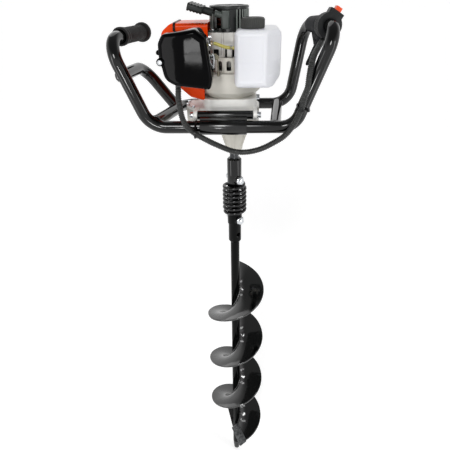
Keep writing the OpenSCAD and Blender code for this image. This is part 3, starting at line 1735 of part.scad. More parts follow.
// Starter handle: stem and slotted cross bar
module starter_handle() {
  bar_w = 72;
  bar_h = 14;
  color("#252b29")
    difference() {
      union() {
        pull_line(24)
          cylinder(r = 7, h = 20);
        pull_line(42)
          linear_extrude(height = 28)
            rounded_rect(bar_w, bar_h, 6);
      }
      pull_line(20)
        cylinder(r = rope_r + slip, h = 20 + slip);
      for (i = [0:3])
        pull_line(47 + 6 * i)
          for (e = [-1, 1])
            translate([0, e * bar_h / 2, 0])
              cube([bar_w + 2, 3, 2.6], center = true);
    }
}

front_tube();
rear_tube();
left_brace_tube();
right_cross_tube();
left_grip();
throttle_housing();
throttle_collar();
throttle_lever();
stop_button();
cable_conduit();
zip_ties();
front_mount_saddle();
rear_mount_saddle();
mount_bolts();
gear_case();
gear_bearings();
output_seal();
housing_screws();
clutch_housing();
clutch_drum();
countershaft();
output_gear();
output_shaft();
upper_socket();
upper_coupling_bolt();
coupling_spring();
lower_socket();
lower_coupling_bolt();
drill_rod();
drill_flight();
cutter_bar();
pilot_point();
fan_housing();
flywheel();
clutch_shoes();
crankcase();
crank_bearings();
crankshaft();
connecting_rod();
piston();
cylinder_body();
spark_plug();
shroud();
muffler();
intake_insulator();
carburettor();
carb_throttle_lever();
choke_lever();
air_filter_base();
air_filter_element();
air_filter_cover();
fuel_tank();
fuel_cap();
tank_mounts();
fuel_hose();
starter_housing();
starter_pulley();
recoil_spring();
starter_rope();
starter_handle();
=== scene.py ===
import json
import math

import bmesh
import bpy
from mathutils import Matrix, Vector, noise
from mathutils.bvhtree import BVHTree

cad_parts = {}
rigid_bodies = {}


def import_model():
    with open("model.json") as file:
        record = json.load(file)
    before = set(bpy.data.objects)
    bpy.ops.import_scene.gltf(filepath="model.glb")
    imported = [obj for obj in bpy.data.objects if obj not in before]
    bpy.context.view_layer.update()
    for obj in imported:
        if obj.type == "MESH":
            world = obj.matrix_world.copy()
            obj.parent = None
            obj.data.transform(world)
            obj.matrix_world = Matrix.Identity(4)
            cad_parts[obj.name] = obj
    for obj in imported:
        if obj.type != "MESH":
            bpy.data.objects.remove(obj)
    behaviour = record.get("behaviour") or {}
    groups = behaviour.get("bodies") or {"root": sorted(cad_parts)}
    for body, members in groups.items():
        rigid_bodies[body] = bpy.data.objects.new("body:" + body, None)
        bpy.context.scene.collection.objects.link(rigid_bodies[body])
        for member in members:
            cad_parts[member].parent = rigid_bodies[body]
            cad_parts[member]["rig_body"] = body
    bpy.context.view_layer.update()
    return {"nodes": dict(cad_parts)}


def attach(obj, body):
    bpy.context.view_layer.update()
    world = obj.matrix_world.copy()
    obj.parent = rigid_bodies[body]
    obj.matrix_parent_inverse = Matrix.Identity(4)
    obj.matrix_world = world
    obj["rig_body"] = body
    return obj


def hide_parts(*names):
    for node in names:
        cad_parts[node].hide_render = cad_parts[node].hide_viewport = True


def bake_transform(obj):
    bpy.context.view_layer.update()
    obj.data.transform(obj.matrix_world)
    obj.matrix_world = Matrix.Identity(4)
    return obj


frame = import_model()
nodes = frame["nodes"]
scene = bpy.context.scene
scene.view_settings.view_transform = "Standard"
MM = 0.001
MERGE, CAD_MERGE = 2e-6, 3e-6  # points this close are one, in metres

# places and sizes repeated from the part's source, in mm
TUBE_R, CROSS_R = 12.5, 11.5  # handlebar tubes and the right cross tube
ENGINE_X = -7.5  # axis of the crankshaft
Z_CYL = 1254.5  # axis of the cylinder
CAP_AT = (39, -62)  # axis of the fuel cap
ROPE_EXIT, ROPE_RISE = Vector((-14, -44, 1306.5)), math.radians(16.5)
ROPE_DIR = Vector((-math.cos(ROPE_RISE), 0, math.sin(ROPE_RISE)))

# an outline's x and y stand for x and z, or for y and z
XZ = Matrix(((1, 0, 0, 0), (0, 0, -1, 0), (0, 1, 0, 0), (0, 0, 0, 1)))
YZ = Matrix(((0, 0, 1, 0), (1, 0, 0, 0), (0, 1, 0, 0), (0, 0, 0, 1)))


# ---------------------------------------------------------------- camera
def add_camera():
    """The camera that was fitted to the photograph."""
    pitch, head, roll = (math.radians(a) for a in (26.51, 3.343, -1.132))
    level = Vector((-math.sin(head), math.cos(head), 0))
    z = Vector((0, 0, 1))
    forward = level * math.cos(pitch) - z * math.sin(pitch)
    flat = Vector((math.cos(head), math.sin(head), 0))
    top = z * math.cos(pitch) + level * math.sin(pitch)
    right = flat * math.cos(roll) + top * math.sin(roll)
    up = top * math.cos(roll) - flat * math.sin(roll)
    data = bpy.data.cameras.new("camera")
    data.lens = 35.78
    data.sensor_width = 36
    data.shift_y = -0.0444
    data.clip_end = 200
    ob = bpy.data.objects.new("camera", data)
    scene.collection.objects.link(ob)
    place = (0.03277, -0.95907, 1.36484)
    ob.matrix_world = Matrix([[right[i], up[i], -forward[i], place[i]] for i in range(3)] + [[0, 0, 0, 1]])
    scene.camera = ob


add_camera()


# ---------------------------------------------------------------- materials
def linear(hex_colour):
    """An sRGB colour as linear red, green and blue."""
    out = []
    for i in (1, 3, 5):
        c = int(hex_colour[i:i + 2], 16) / 255
        out.append(c / 12.92 if c <= 0.04045 else ((c + 0.055) / 1.055) ** 2.4)
    return out


WEAR_FROM, WEAR_FULL = 0.56, 0.61  # pointiness at which an edge starts to be worn, and is worn through


def material(name, colour, rough=0.45, metal=0.0, vary=0.08, vary_scale=25.0, grain=0.0, grain_scale=700.0,
             rough_vary=0.06, spec=0.5, wear=None, pits=0.0, pit_scale=350.0, stretch=(1, 1, 1), deep=0.3,
             scatter=0.0):
    """Principled finish: mottled colour, uneven gloss, fine relief, worn edges where wear is a colour.

    vary and rough_vary mottle colour and gloss. grain and pits are the strength of the relief, and deep
    is its height in mm. The scales are those of noise in metres.
    """
    m = bpy.data.materials.new(name)
    m.use_nodes = True
    t = m.node_tree
    link = t.links.new
    b = t.nodes["Principled BSDF"]
    b.inputs["Metallic"].default_value = metal
    b.inputs["Specular IOR Level"].default_value = spec
    if scatter:
        b.inputs["Subsurface Weight"].default_value = scatter
        b.inputs["Subsurface Radius"].default_value = (0.012, 0.012, 0.013)
        b.inputs["Subsurface Scale"].default_value = 1.0
    place = t.nodes.new("ShaderNodeTexCoord")
    fit = t.nodes.new("ShaderNodeMapping")
    fit.inputs["Scale"].default_value = stretch
    link(place.outputs["Object"], fit.inputs["Vector"])

    def cloud(scale, detail, rough_=0.6):
        n = t.nodes.new("ShaderNodeTexNoise")
        n.inputs["Scale"].default_value = scale
        n.inputs["Detail"].default_value = detail
        n.inputs["Roughness"].default_value = rough_
        link(fit.outputs["Vector"], n.inputs["Vector"])
        return n.outputs["Fac"]

    rgb = linear(colour)
    ramp = t.nodes.new("ShaderNodeValToRGB")
    ramp.color_ramp.elements[0].position = 0.3
    ramp.color_ramp.elements[0].color = [max(0, c * (1 - vary)) for c in rgb] + [1]
    ramp.color_ramp.elements[1].position = 0.7
    ramp.color_ramp.elements[1].color = [min(1, c * (1 + vary)) for c in rgb] + [1]
    link(cloud(vary_scale, 4), ramp.inputs["Fac"])
    shade = ramp.outputs["Color"]
    if wear:
        geo = t.nodes.new("ShaderNodeNewGeometry")
        edge = t.nodes.new("ShaderNodeValToRGB")
        edge.color_ramp.elements[0].position = WEAR_FROM
        edge.color_ramp.elements[0].color = (0, 0, 0, 1)
        edge.color_ramp.elements[1].position = WEAR_FULL
        edge.color_ramp.elements[1].color = (1, 1, 1, 1)
        link(geo.outputs["Pointiness"], edge.inputs["Fac"])
        spots = t.nodes.new("ShaderNodeMapRange")
        spots.inputs["From Min"].default_value = 0.35
        spots.inputs["From Max"].default_value = 0.6
        link(cloud(140, 4), spots.inputs["Value"])
        both = t.nodes.new("ShaderNodeMath")
        both.operation = "MULTIPLY"
        link(edge.outputs["Color"], both.inputs[0])
        link(spots.outputs["Result"], both.inputs[1])
        mix = t.nodes.new("ShaderNodeMix")
        mix.data_type = "RGBA"
        link(both.outputs["Value"], mix.inputs["Factor"])
        link(shade, mix.inputs["A"])
        mix.inputs["B"].default_value = linear(wear) + [1]
        shade = mix.outputs["Result"]
    link(shade, b.inputs["Base Color"])
    gloss = t.nodes.new("ShaderNodeMapRange")
    gloss.inputs["From Min"].default_value = 0.3
    gloss.inputs["From Max"].default_value = 0.7
    gloss.inputs["To Min"].default_value = max(0.02, rough - rough_vary)
    gloss.inputs["To Max"].default_value = rough + rough_vary
    link(cloud(vary_scale * 2.7, 3), gloss.inputs["Value"])
    link(gloss.outputs["Result"], b.inputs["Roughness"])
    if grain or pits:
        bump = t.nodes.new("ShaderNodeBump")
        bump.inputs["Strength"].default_value = min(1.0, grain + pits)
        bump.inputs["Distance"].default_value = deep * MM
        height = cloud(grain_scale, 3)
        if pits:
            cells = t.nodes.new("ShaderNodeTexVoronoi")
            cells.inputs["Scale"].default_value = pit_scale
            link(fit.outputs["Vector"], cells.inputs["Vector"])
            add = t.nodes.new("ShaderNodeMath")
            add.operation = "ADD"
            link(height, add.inputs[0])
            link(cells.outputs["Distance"], add.inputs[1])
            height = add.outputs["Value"]
        link(height, bump.inputs["Height"])
        link(bump.outputs["Normal"], b.inputs["Normal"])
    return m


M = {
    "paint": material("black_paint", "#030404", 0.07, vary=0.2, grain=0.03, grain_scale=160, spec=0.42,
                      rough_vary=0.025, deep=0.15),
    "flight": material("flight_paint", "#030404", 0.1, vary=0.25, vary_scale=14, grain=0.05, grain_scale=120,
                       spec=0.85, rough_vary=0.05, deep=0.2),
    "rod": material("rod_paint", "#020303", 0.06, vary=0.2, vary_scale=14, grain=0.04, grain_scale=120,
                    spec=0.1, rough_vary=0.03, deep=0.2),
    "rubber": material("grip_rubber", "#151515", 0.55, vary=0.15, grain=0.4, grain_scale=1500, spec=0.25),
    "plastic": material("black_plastic", "#0e0f10", 0.34, vary=0.15, grain=0.15, grain_scale=1800, spec=0.18),
    "collar": material("collar_plastic", "#1d1e1f", 0.42, vary=0.15, grain=0.2, grain_scale=1500, spec=0.2),
    "lever": material("lever_plastic", "#0b0e14", 0.5, vary=0.15, grain=0.1, grain_scale=1500, spec=0.04),
    "conduit": material("conduit_plastic", "#242524", 0.33, vary=0.15, grain=0.12, grain_scale=1500,
                        spec=0.5),
    "saddle": material("saddle_paint", "#050606", 0.15, vary=0.3, vary_scale=60, grain=0.1, grain_scale=300,
                       spec=0.55, rough_vary=0.08, stretch=(0.3, 1, 1)),
    "stop": material("stop_orange", "#ee4f1c", 0.38, vary=0.06, grain=0.2, grain_scale=1500, spec=0.4),
    "orange": material("shroud_orange", "#f2470e", 0.22, vary=0.05, grain=0.06, grain_scale=300, spec=0.12),
    "cover": material("cover_black", "#020203", 0.06, vary=0.2, grain=0.015, grain_scale=60, spec=0.06,
                      rough_vary=0.025),
    "tank": material("tank_white", "#ebecf1", 0.33, vary=0.015, vary_scale=9, grain=0.04, grain_scale=300,
                     spec=0.35, scatter=0.3),
    "cap": material("cap_grey", "#3d3e3c", 0.46, vary=0.1, grain=0.3, grain_scale=1500, spec=0.3),
    "starter": material("starter_grey", "#454b48", 0.34, vary=0.12, grain=0.2, grain_scale=1200, spec=0.4),
    # the starter grey made paler, a painted highlight for the tops of the ribs
    "rib": material("starter_rib_grey", "#8b928d", 0.3, vary=0.12, grain=0.2, grain_scale=1200, spec=0.4),
    # the starter grey made darker, painted shade on the body of the can
    "can": material("starter_can_painted_shade", "#191c1b", 0.3, vary=0.12, grain=0.2, grain_scale=1200, spec=0.4),
    "handle": material("starter_handle_grey", "#1c1f1e", 0.4, vary=0.12, grain=0.3, grain_scale=1400,
                       spec=0.3),
    "cast": material("cast_alloy", "#d2d0cb", 0.4, metal=0.2, vary=0.03, vary_scale=60, pits=0.1, grain=0.1,
                     grain_scale=900, pit_scale=420, wear="#efeeea", deep=0.25),
    # a paler copy of the cast alloy, painted light for the clutch housing
    "cast_painted_light": material("cast_alloy_painted_light", "#efeeea", 0.42, metal=0.1, vary=0.03, vary_scale=60, pits=0.1,
                           grain=0.1, grain_scale=900, pit_scale=420, wear="#f6f5f2", deep=0.25),
    "cast_grey": material("cast_alloy_dull", "#cfccc3", 0.45, metal=0.2, vary=0.04, vary_scale=40, pits=0.12,
                          grain=0.12, grain_scale=800, wear="#e2e0d8", deep=0.25),
    "bright": material("bright_steel", "#cdd0d3", 0.2, metal=1.0, vary=0.08, vary_scale=200, grain=0.08,
                       grain_scale=1200, rough_vary=0.08),
    "machined": material("machined_steel", "#8d8f92", 0.3, metal=1.0, vary=0.1, vary_scale=120, grain=0.12,
                         grain_scale=900),
    "bronze": material("bearing_bronze", "#9a7b3c", 0.35, metal=1.0, vary=0.1, grain=0.1),
    "worn": material("worn_steel", "#323335", 0.4, metal=0.6, vary=0.3, vary_scale=90, grain=0.25,
                     grain_scale=500, wear="#8f9192", rough_vary=0.12),
    "lining": material("shoe_lining", "#6f675c", 0.7, vary=0.2, grain=0.5),
    "insulator": material("insulator_brown", "#4a3527", 0.6, vary=0.15, grain=0.3),
    "foam": material("filter_foam", "#4d4a44", 0.9, vary=0.2, grain=0.8, grain_scale=600, spec=0.2, deep=0.8),
    "plug": material("plug_black", "#161617", 0.5, vary=0.15, grain=0.3, spec=0.3),
    "muffler": material("muffler_black", "#2e2e2f", 0.55, metal=0.5, vary=0.2, grain=0.3, grain_scale=500,
                        wear="#6a6a6a"),
    "hose": material("hose_yellow", "#c4b95c", 0.28, vary=0.1, vary_scale=80, grain=0.04, scatter=0.2),
    "rope": material("rope", "#2a2b28", 0.8, vary=0.3, vary_scale=600, grain=0.7, grain_scale=1500, spec=0.2),
    "weld": material("weld_paint", "#08090a", 0.09, vary=0.2, grain=0.1, grain_scale=500, spec=0.8),
    "tie": material("tie_nylon", "#0b0c0d", 0.36, vary=0.15, grain=0.12, spec=0.3),
    "seal": material("seal_rubber", "#131313", 0.55, vary=0.15, grain=0.3, spec=0.3),
    "pulley": material("pulley_red", "#4a1d14", 0.5, vary=0.15, grain=0.2, grain_scale=900, spec=0.3),
    "link": material("link_steel", "#85806f", 0.4, metal=0.6, vary=0.2, vary_scale=120, grain=0.15),
    "brass": material("brass", "#b98f3f", 0.3, metal=1.0, vary=0.1, grain=0.1),
    # a black that paints the shade in the floors of grooves
    "groove_shade": material("painted_groove_shade", "#0a0a0b", 0.8, vary=0.2, grain=0.2, spec=0.2),
}


# ---------------------------------------------------------------- mesh helpers (sizes in mm)
def unit(v):
    return Vector(v).normalized()


def new_object(name, verts, faces):
    """A mesh object from points in mm."""
    me = bpy.data.meshes.new(name)
    me.from_pydata([[c * MM for c in v] for v in verts], [], faces)
    ob = bpy.data.objects.new(name, me)
    scene.collection.objects.link(ob)
    return ob


def clean(ob, angle=32):
    """Merges double points, turns normals outwards and smooths the edges that are flatter than angle."""
    me = ob.data
    bm = bmesh.new()
    bm.from_mesh(me)
    bmesh.ops.remove_doubles(bm, verts=bm.verts, dist=MERGE)
    bmesh.ops.recalc_face_normals(bm, faces=bm.faces)
    bm.to_mesh(me)
    bm.free()
    if "custom_normal" in me.attributes:
        me.attributes.remove(me.attributes["custom_normal"])
    me.shade_smooth()
    me.set_sharp_from_angle(angle=math.radians(angle))
    return ob


def settle(ob):
    """Applies the object's modifiers to its mesh."""
    bpy.context.view_layer.update()
    made = bpy.data.meshes.new_from_object(ob.evaluated_get(bpy.context.evaluated_depsgraph_get()))
    old = ob.data
    ob.modifiers.clear()
    ob.data = made
    bpy.data.meshes.remove(old)
    return ob


def bevel(ob, width, segments=2, angle=30, clamp=True):
    """Rounds the edges that are sharper than angle."""
    mod = ob.modifiers.new("edges", "BEVEL")
    mod.width = width * MM
    mod.segments = segments
    mod.limit_method = "ANGLE"
    mod.angle_limit = math.radians(angle)
    mod.use_clamp_overlap = clamp
    mod.miter_outer = "MITER_ARC"
    return settle(ob)


def boolean(ob, others, how="DIFFERENCE"):
    """Cuts, adds or intersects one object or a list of them, which are used up."""
    others = others if isinstance(others, list) else [others]
    for o in others:
        mod = ob.modifiers.new("cut", "BOOLEAN")
        mod.operation = how
        mod.solver = "EXACT"
        mod.object = o
    settle(ob)
    for o in others:
        bpy.data.objects.remove(o)
    return ob


def join(name, parts):
    """One object from several, materials kept."""
    bm = bmesh.new()
    mats = []
    for p in parts:
        start = len(bm.faces)
        offset = {}
        for i, m in enumerate(p.data.materials):
            if m not in mats:
                mats.append(m)
            offset[i] = mats.index(m)
        p.data.transform(p.matrix_world)
        bm.from_mesh(p.data)
        bm.faces.ensure_lookup_table()
        for f in bm.faces[start:]:
            f.material_index = offset.get(f.material_index, 0)
    me = bpy.data.meshes.new(name)
    bm.to_mesh(me)
    bm.free()
    for m in mats:
        me.materials.append(m)
    for p in parts:
        bpy.data.objects.remove(p)
    ob = bpy.data.objects.new(name, me)
    scene.collection.objects.link(ob)
    return ob


def axes(origin, z, x=None):
    """Matrix with its Z along z, in mm."""
    z = unit(z)
    ref = Vector(x) if x is not None else (Vector((0, 0, 1)) if abs(z.z) < 0.9 else Vector((1, 0, 0)))
    x = (ref - z * ref.dot(z)).normalized()
    y = z.cross(x)
    return Matrix([[x[i], y[i], z[i], origin[i]] for i in range(3)] + [[0, 0, 0, 1]])


def moved(ob, matrix):
    """Moves a mesh by a matrix in mm."""
    m = matrix.copy()
    for i in range(3):
        m[i][3] *= MM
    ob.data.transform(m)
    return ob


def circle(x, y, r, n):
    """Outline of n points round a centre."""
    angles = [2 * math.pi * k / n for k in range(n)]
    return [(x + r * math.cos(a), y + r * math.sin(a)) for a in angles]


def rectangle(x0, y0, x1, y1):
    return [(x0, y0), (x1, y0), (x1, y1), (x0, y1)]


def skin(rings, sides, looped=False):
    """Faces between rings of points that follow each other."""
    faces = []
    for i in range(rings if looped else rings - 1):
        j = (i + 1) % rings
        for k in range(sides):
            q = (k + 1) % sides
            faces.append((i * sides + k, i * sides + q, j * sides + q, j * sides + k))
    return faces


def ends(rings, sides):
    """Faces that close the first and the last ring."""
    return [tuple(range(sides))[::-1], tuple(range((rings - 1) * sides, rings * sides))]


def rounded(pts, radius, steps=4, closed=True):
    """Fillets the corners of an outline. radius may be one number or one for each corner."""
    pts = [Vector(p) for p in pts]
    n = len(pts)
    out = []
    for i, p in enumerate(pts):
        r = radius[i] if isinstance(radius, (list, tuple)) else radius
        if r <= 0 or (not closed and i in (0, n - 1)):
            out.append(p)
            continue
        a, c = pts[i - 1], pts[(i + 1) % n]
        u, v = (a - p).normalized(), (c - p).normalized()
        half = math.acos(max(-1, min(1, u.dot(v)))) / 2
        back = min(r / math.tan(half), 0.49 * (a - p).length, 0.49 * (c - p).length)
        r = back * math.tan(half)
        centre = p + (u + v).normalized() * (r / math.sin(half))
        s, e = p + u * back - centre, p + v * back - centre
        for k in range(steps + 1):
            t = k / steps
            d = (s * (1 - t) + e * t).normalized() * r
            out.append(centre + d)
    return out


def revolve(name, profile, segs=64, matrix=None, ripple=None):
    """Turns a profile of (radius, height) round Z. ripple(angle, radius, height) changes the radius."""
    verts, faces = [], []
    rows = len(profile)
    for k in range(segs):
        a = 2 * math.pi * k / segs
        for r, z in profile:
            r = ripple(a, r, z) if ripple else r
            verts.append((r * math.cos(a), r * math.sin(a), z))
    for k in range(segs):
        q = (k + 1) % segs
        for i in range(rows - 1):
            faces.append((k * rows + i, q * rows + i, q * rows + i + 1, k * rows + i + 1))
    ob = clean(new_object(name, verts, faces))
    return moved(ob, matrix) if matrix else ob


def prism(name, outline, z0, z1, matrix=None):
    """An outline drawn out from z0 to z1."""
    n = len(outline)
    verts = [(p[0], p[1], z0) for p in outline] + [(p[0], p[1], z1) for p in outline]
    faces = [tuple(range(n))[::-1], tuple(range(n, 2 * n))]
    faces += [(i, (i + 1) % n, n + (i + 1) % n, n + i) for i in range(n)]
    ob = clean(new_object(name, verts, faces))
    return moved(ob, matrix) if matrix else ob


def sweep(name, pts, radius, sides=16):
    """A closed tube along points. radius is a number or a function of (index, angle)."""
    pts = [Vector(p) for p in pts]
    n = len(pts)
    tangents = [(pts[min(i + 1, n - 1)] - pts[max(i - 1, 0)]).normalized() for i in range(n)]
    up = Vector((0, 0, 1)) if abs(tangents[0].z) < 0.9 else Vector((1, 0, 0))
    verts = []
    for i, t in enumerate(tangents):
        up = (up - t * up.dot(t)).normalized()
        side = t.cross(up)
        for k in range(sides):
            a = 2 * math.pi * k / sides
            r = radius(i, a) if callable(radius) else radius
            verts.append(pts[i] + (up * math.cos(a) + side * math.sin(a)) * r)
    return clean(new_object(name, verts, skin(n, sides) + ends(n, sides)), 40)


def spline(points, n):
    """Smooth curve through points, with n steps between two of them."""
    p = [Vector(q) for q in points]
    last = len(p) - 1
    out = []
    for i in range(last):
        a, b, c, e = p[max(i - 1, 0)], p[i], p[i + 1], p[min(i + 2, last)]
        for k in range(n):
            t = k / n
            out.append(0.5 * (2 * b + (c - a) * t + (2 * a - 5 * b + 4 * c - e) * t * t
                              + (3 * b - a - 3 * c + e) * t * t * t))
    return out + [p[last]]


def evenly(points, step):
    """The same curve with points about step apart, and its length."""
    total = [0.0]
    for a, b in zip(points, points[1:]):
        total.append(total[-1] + (b - a).length)
    count = max(2, round(total[-1] / step))
    out, i = [], 0
    for k in range(count + 1):
        s = total[-1] * k / count
        while i < len(points) - 2 and total[i + 1] < s:
            i += 1
        f = (s - total[i]) / max(1e-9, total[i + 1] - total[i])
        out.append(points[i].lerp(points[i + 1], min(1, max(0, f))))
    return out, total[-1]


def smoothstep(t):
    """Eases from 0 to 1."""
    t = max(0.0, min(1.0, t))
    return t * t * (3 - 2 * t)


def dress(ob, mat, body, *replaced):
    """Gives a new piece its finish and its body, and hides the CAD nodes that it stands for."""
    if mat:
        ob.data.materials.clear()
        ob.data.materials.append(M[mat])
    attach(ob, body)
    if replaced:
        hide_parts(*replaced)
    return ob


def edged(node, width, segments, cuts=None):
    """A copy of a CAD node with its edges rounded, after any cuts."""
    ob = bpy.data.objects.new(node + "_shape", nodes[node].data.copy())
    scene.collection.objects.link(ob)
    me = ob.data
    me.materials.clear()
    if "custom_normal" in me.attributes:
        me.attributes.remove(me.attributes["custom_normal"])
    bm = bmesh.new()
    bm.from_mesh(me)
    bmesh.ops.remove_doubles(bm, verts=bm.verts, dist=CAD_MERGE)
    bmesh.ops.dissolve_limit(bm, angle_limit=math.radians(0.5), verts=bm.verts, edges=bm.edges)
    bmesh.ops.recalc_face_normals(bm, faces=bm.faces)
    bm.to_mesh(me)
    bm.free()
    if cuts:
        boolean(ob, cuts)
    # points that the bevel throws too far go back to the surface
    surface = BVHTree.FromPolygons([v.co for v in ob.data.vertices],
                                   [tuple(f.vertices) for f in ob.data.polygons])
    bevel(ob, width, segments, clamp=False)
    for v in ob.data.vertices:
        near, _, _, gap = surface.find_nearest(v.co)
        if gap > (0.5 * width + 0.02) * MM:
            v.co = near
    return clean(ob, 38)


def paint(node, mat):
    """A CAD node that is shown as it is, with a finish of its own."""
    me = nodes[node].data
    me.materials.clear()
    me.materials.append(M[mat])
    me.shade_smooth()
    me.set_sharp_from_angle(angle=math.radians(32))


# ---------------------------------------------------------------- cord: the cable conduit
ROUTE = [(172, -44, 1261), (162, -66, 1251), (151, -92, 1238), (144, -109, 1212), (141, -116, 1188),
         (136, -117, 1167), (131, -117, 1146), (119, -117, 1118), (103, -116, 1096), (84, -115, 1082),
         (59, -113, 1068), (35, -112, 1061), (15, -112, 1060), (-5, -112, 1064), (-34, -113, 1077),
         (-53, -116, 1088), (-71, -117, 1099), (-85, -117, 1111), (-94, -117, 1126), (-99, -115, 1147),
         (-102, -109, 1168), (-102, -103, 1185), (-102, -102, 1195)]


def cable_conduit():
    line, length = evenly(spline(ROUTE, 12), 0.62)
    ribs, cuff, cuff_r = 150, 9, 5.3
    pitch = length / ribs

    def radius(i, a):
        s = length * i / (len(line) - 1)
        if s < cuff or s > length - cuff:
            return cuff_r
        t = (s / pitch) % 1
        return 4.95 + 1.0 * smoothstep(1.9 - abs(t - 0.5) * 5.2)

    ob = sweep("conduit", line, radius, 14)
    dress(ob, "conduit", "machine", "cable_conduit")


cable_conduit()

# CAD nodes that are shown as they are
for finish, parts in {
    "paint": ("front_tube", "rear_tube", "left_brace_tube", "right_cross_tube"),
    "rod": ("drill_rod",),
    "worn": ("output_shaft", "pilot_point"),
    "machined": ("clutch_drum", "countershaft", "output_gear", "flywheel", "crank_bearings", "crankshaft",
                 "connecting_rod", "piston", "recoil_spring"),
    "bright": ("carb_throttle_lever", "choke_lever"),
    "bronze": ("gear_bearings",),
    "cast": ("cylinder_body",),
    "tie": ("zip_ties",),
    "seal": ("output_seal",),
    "lining": ("clutch_shoes",),
    "plug": ("spark_plug",),
    "insulator": ("intake_insulator",),
    "foam": ("air_filter_element",),
    "pulley": ("starter_pulley",),
}.items():
    for part in parts:
        paint(part, finish)


# ---------------------------------------------------------------- frame, spring and rope
def left_grip():
    end, top = Vector((-201, 71.5, 1270)), Vector((-233, -96.5, 1273))
    ribs, pitch = 12, 6.2
    prof = [(0.05, -6), (14.5, -6), (17.8, -5.4), (19.6, -4), (20.4, -1.5), (20.5, 1.5), (20.1, 4.6),
            (18.9, 7.3), (17, 9.3), (16, 10.4), (15.5, 12)]
    for k in range(ribs):
        z = 16 + pitch * k
        prof += [(15.5, z), (15.95, z + 0.5), (15.95, z + 1.8), (15.5, z + 2.3)]
    prof += [(15.5, 92), (15.7, 93.2), (17.1, 94), (17.3, 95), (17.3, 98), (16.2, 99.4), (16.3, 101),
             (17.8, 102.2), (18, 103), (18, 109), (17.3, 110), (14.4, 110), (13.6, 109), (13.2, 104)]
    ob = revolve("grip_sleeve", prof, 72, axes(end, top - end))
    dress(ob, "rubber", "machine", "left_grip")


def weld(name, base_point, base_dir, away, foot, tube_r=TUBE_R, bead=1.6):
    """Bead round the joint where a tube that runs from away to foot meets a handlebar tube."""
    p, b = Vector(base_point), unit(base_dir)
    d = unit(Vector(foot) - Vector(away))
    m = axes((0, 0, 0), d)
    e1, e2 = Vector(m.col[0][:3]), Vector(m.col[1][:3])
    n, sides = 120, 8
    pts = []
    for k in range(n):
        a = 2 * math.pi * k / n
        q = Vector(away) + (e1 * math.cos(a) + e2 * math.sin(a)) * tube_r
        w = q - p
        w -= b * w.dot(b)
        v = d - b * d.dot(b)
        qa, qb, qc = v.dot(v), w.dot(v), w.dot(w) - TUBE_R * TUBE_R
        disc = max(0.0, qb * qb - qa * qc)
        pts.append(q + d * ((-qb - math.sqrt(disc)) / qa))
    middle = sum(pts, Vector()) / n
    verts = []
    for i in range(n):
        t = (pts[(i + 1) % n] - pts[i - 1]).normalized()
        out = pts[i] - middle
        out = (out - t * out.dot(t)).normalized()
        up = t.cross(out)
        r = bead * (1 + 0.07 * math.sin(i * 2 * math.pi / 5) + 0.12 * noise.noise(pts[i] * 0.2))
        for k in range(sides):
            a = 2 * math.pi * k / sides
            verts.append(pts[i] + (out * math.cos(a) + up * math.sin(a)) * r)
    ob = clean(new_object(name, verts, skin(n, sides, looped=True)), 60)
    return dress(ob, "weld", "machine")


def frame_welds():
    weld("weld_brace_top", (-164, -96.5, 1107), (-69, 0, 166), (-206, -51, 1206.5), (-209, -90.5, 1208))
    start, end = Vector((-118, 96.5, 1107)), Vector((-153, -92.5, 1117))
    foot = start + (end - start) * 0.29
    away = foot + (Vector((-199, 40, 1203)) - foot).normalized() * 45
    weld("weld_brace_low", start, end - start, away, foot)
    weld("weld_cross_left", (-153, -96.5, 1112.3), (0.894, 0, -0.448), (-144.7, -47.5, 1114.6), end)
    front, rear = Vector((84, -96.5, 1107)), Vector((99.5, 96.5, 1109))
    half = front.lerp(rear, 0.5)
    weld("weld_cross_front", front, (1, 0, 0), half, front, CROSS_R, 1.5)
    weld("weld_cross_rear", (99.5, 96.5, 1108.8), (0.961, 0, 0.278), half, rear, CROSS_R, 1.5)


def coupling_spring():
    low, high, turns, steps = 868.3, 943.0, 7, 44
    coil_r, wire_r, first = 24.7, 3.8, math.radians(60)
    tuck_low, tuck_high, tuck_turns = 2.4, 3.3, 0.75  # the end turns draw in to the sockets
    n = turns * steps
    pts = []
    for k in range(n + 1):
        f = turns * k / n
        a = first + 2 * math.pi * f
        r = coil_r - tuck_low * (1 - smoothstep(f / tuck_turns))
        r -= tuck_high * (1 - smoothstep((turns - f) / tuck_turns))
        pts.append((r * math.cos(a), r * math.sin(a), low + (high - low) * f / turns))
    ob = sweep("spring_coil", pts, wire_r, 16)
    ob.data.materials.append(M["paint"])
    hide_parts("coupling_spring")
    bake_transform(ob)


def starter_rope():
    first, length, steps = 2, 38, 76
    line = [ROPE_EXIT + ROPE_DIR * (first + length * k / steps) for k in range(steps + 1)]
    # three twisted strands
    ob = sweep("pull_rope", line, lambda i, a: 1.72 + 0.26 * abs(math.sin(1.5 * a - i * 0.55)), 18)
    ob.data.materials.append(M["rope"])
    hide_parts("starter_rope")
    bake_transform(ob)


# ---------------------------------------------------------------- drill
FLIGHT_START, FLIGHT_TURNS, FLIGHT_PITCH, FLIGHT_LOW = -66, 3.45, 160, 126


def flight_at(f, r, lift):
    """Point on the helix, f of the way up."""
    a = math.radians(FLIGHT_START + 360 * FLIGHT_TURNS * f)
    return Vector((r * math.cos(a), r * math.sin(a), FLIGHT_LOW + FLIGHT_PITCH * FLIGHT_TURNS * f + lift))


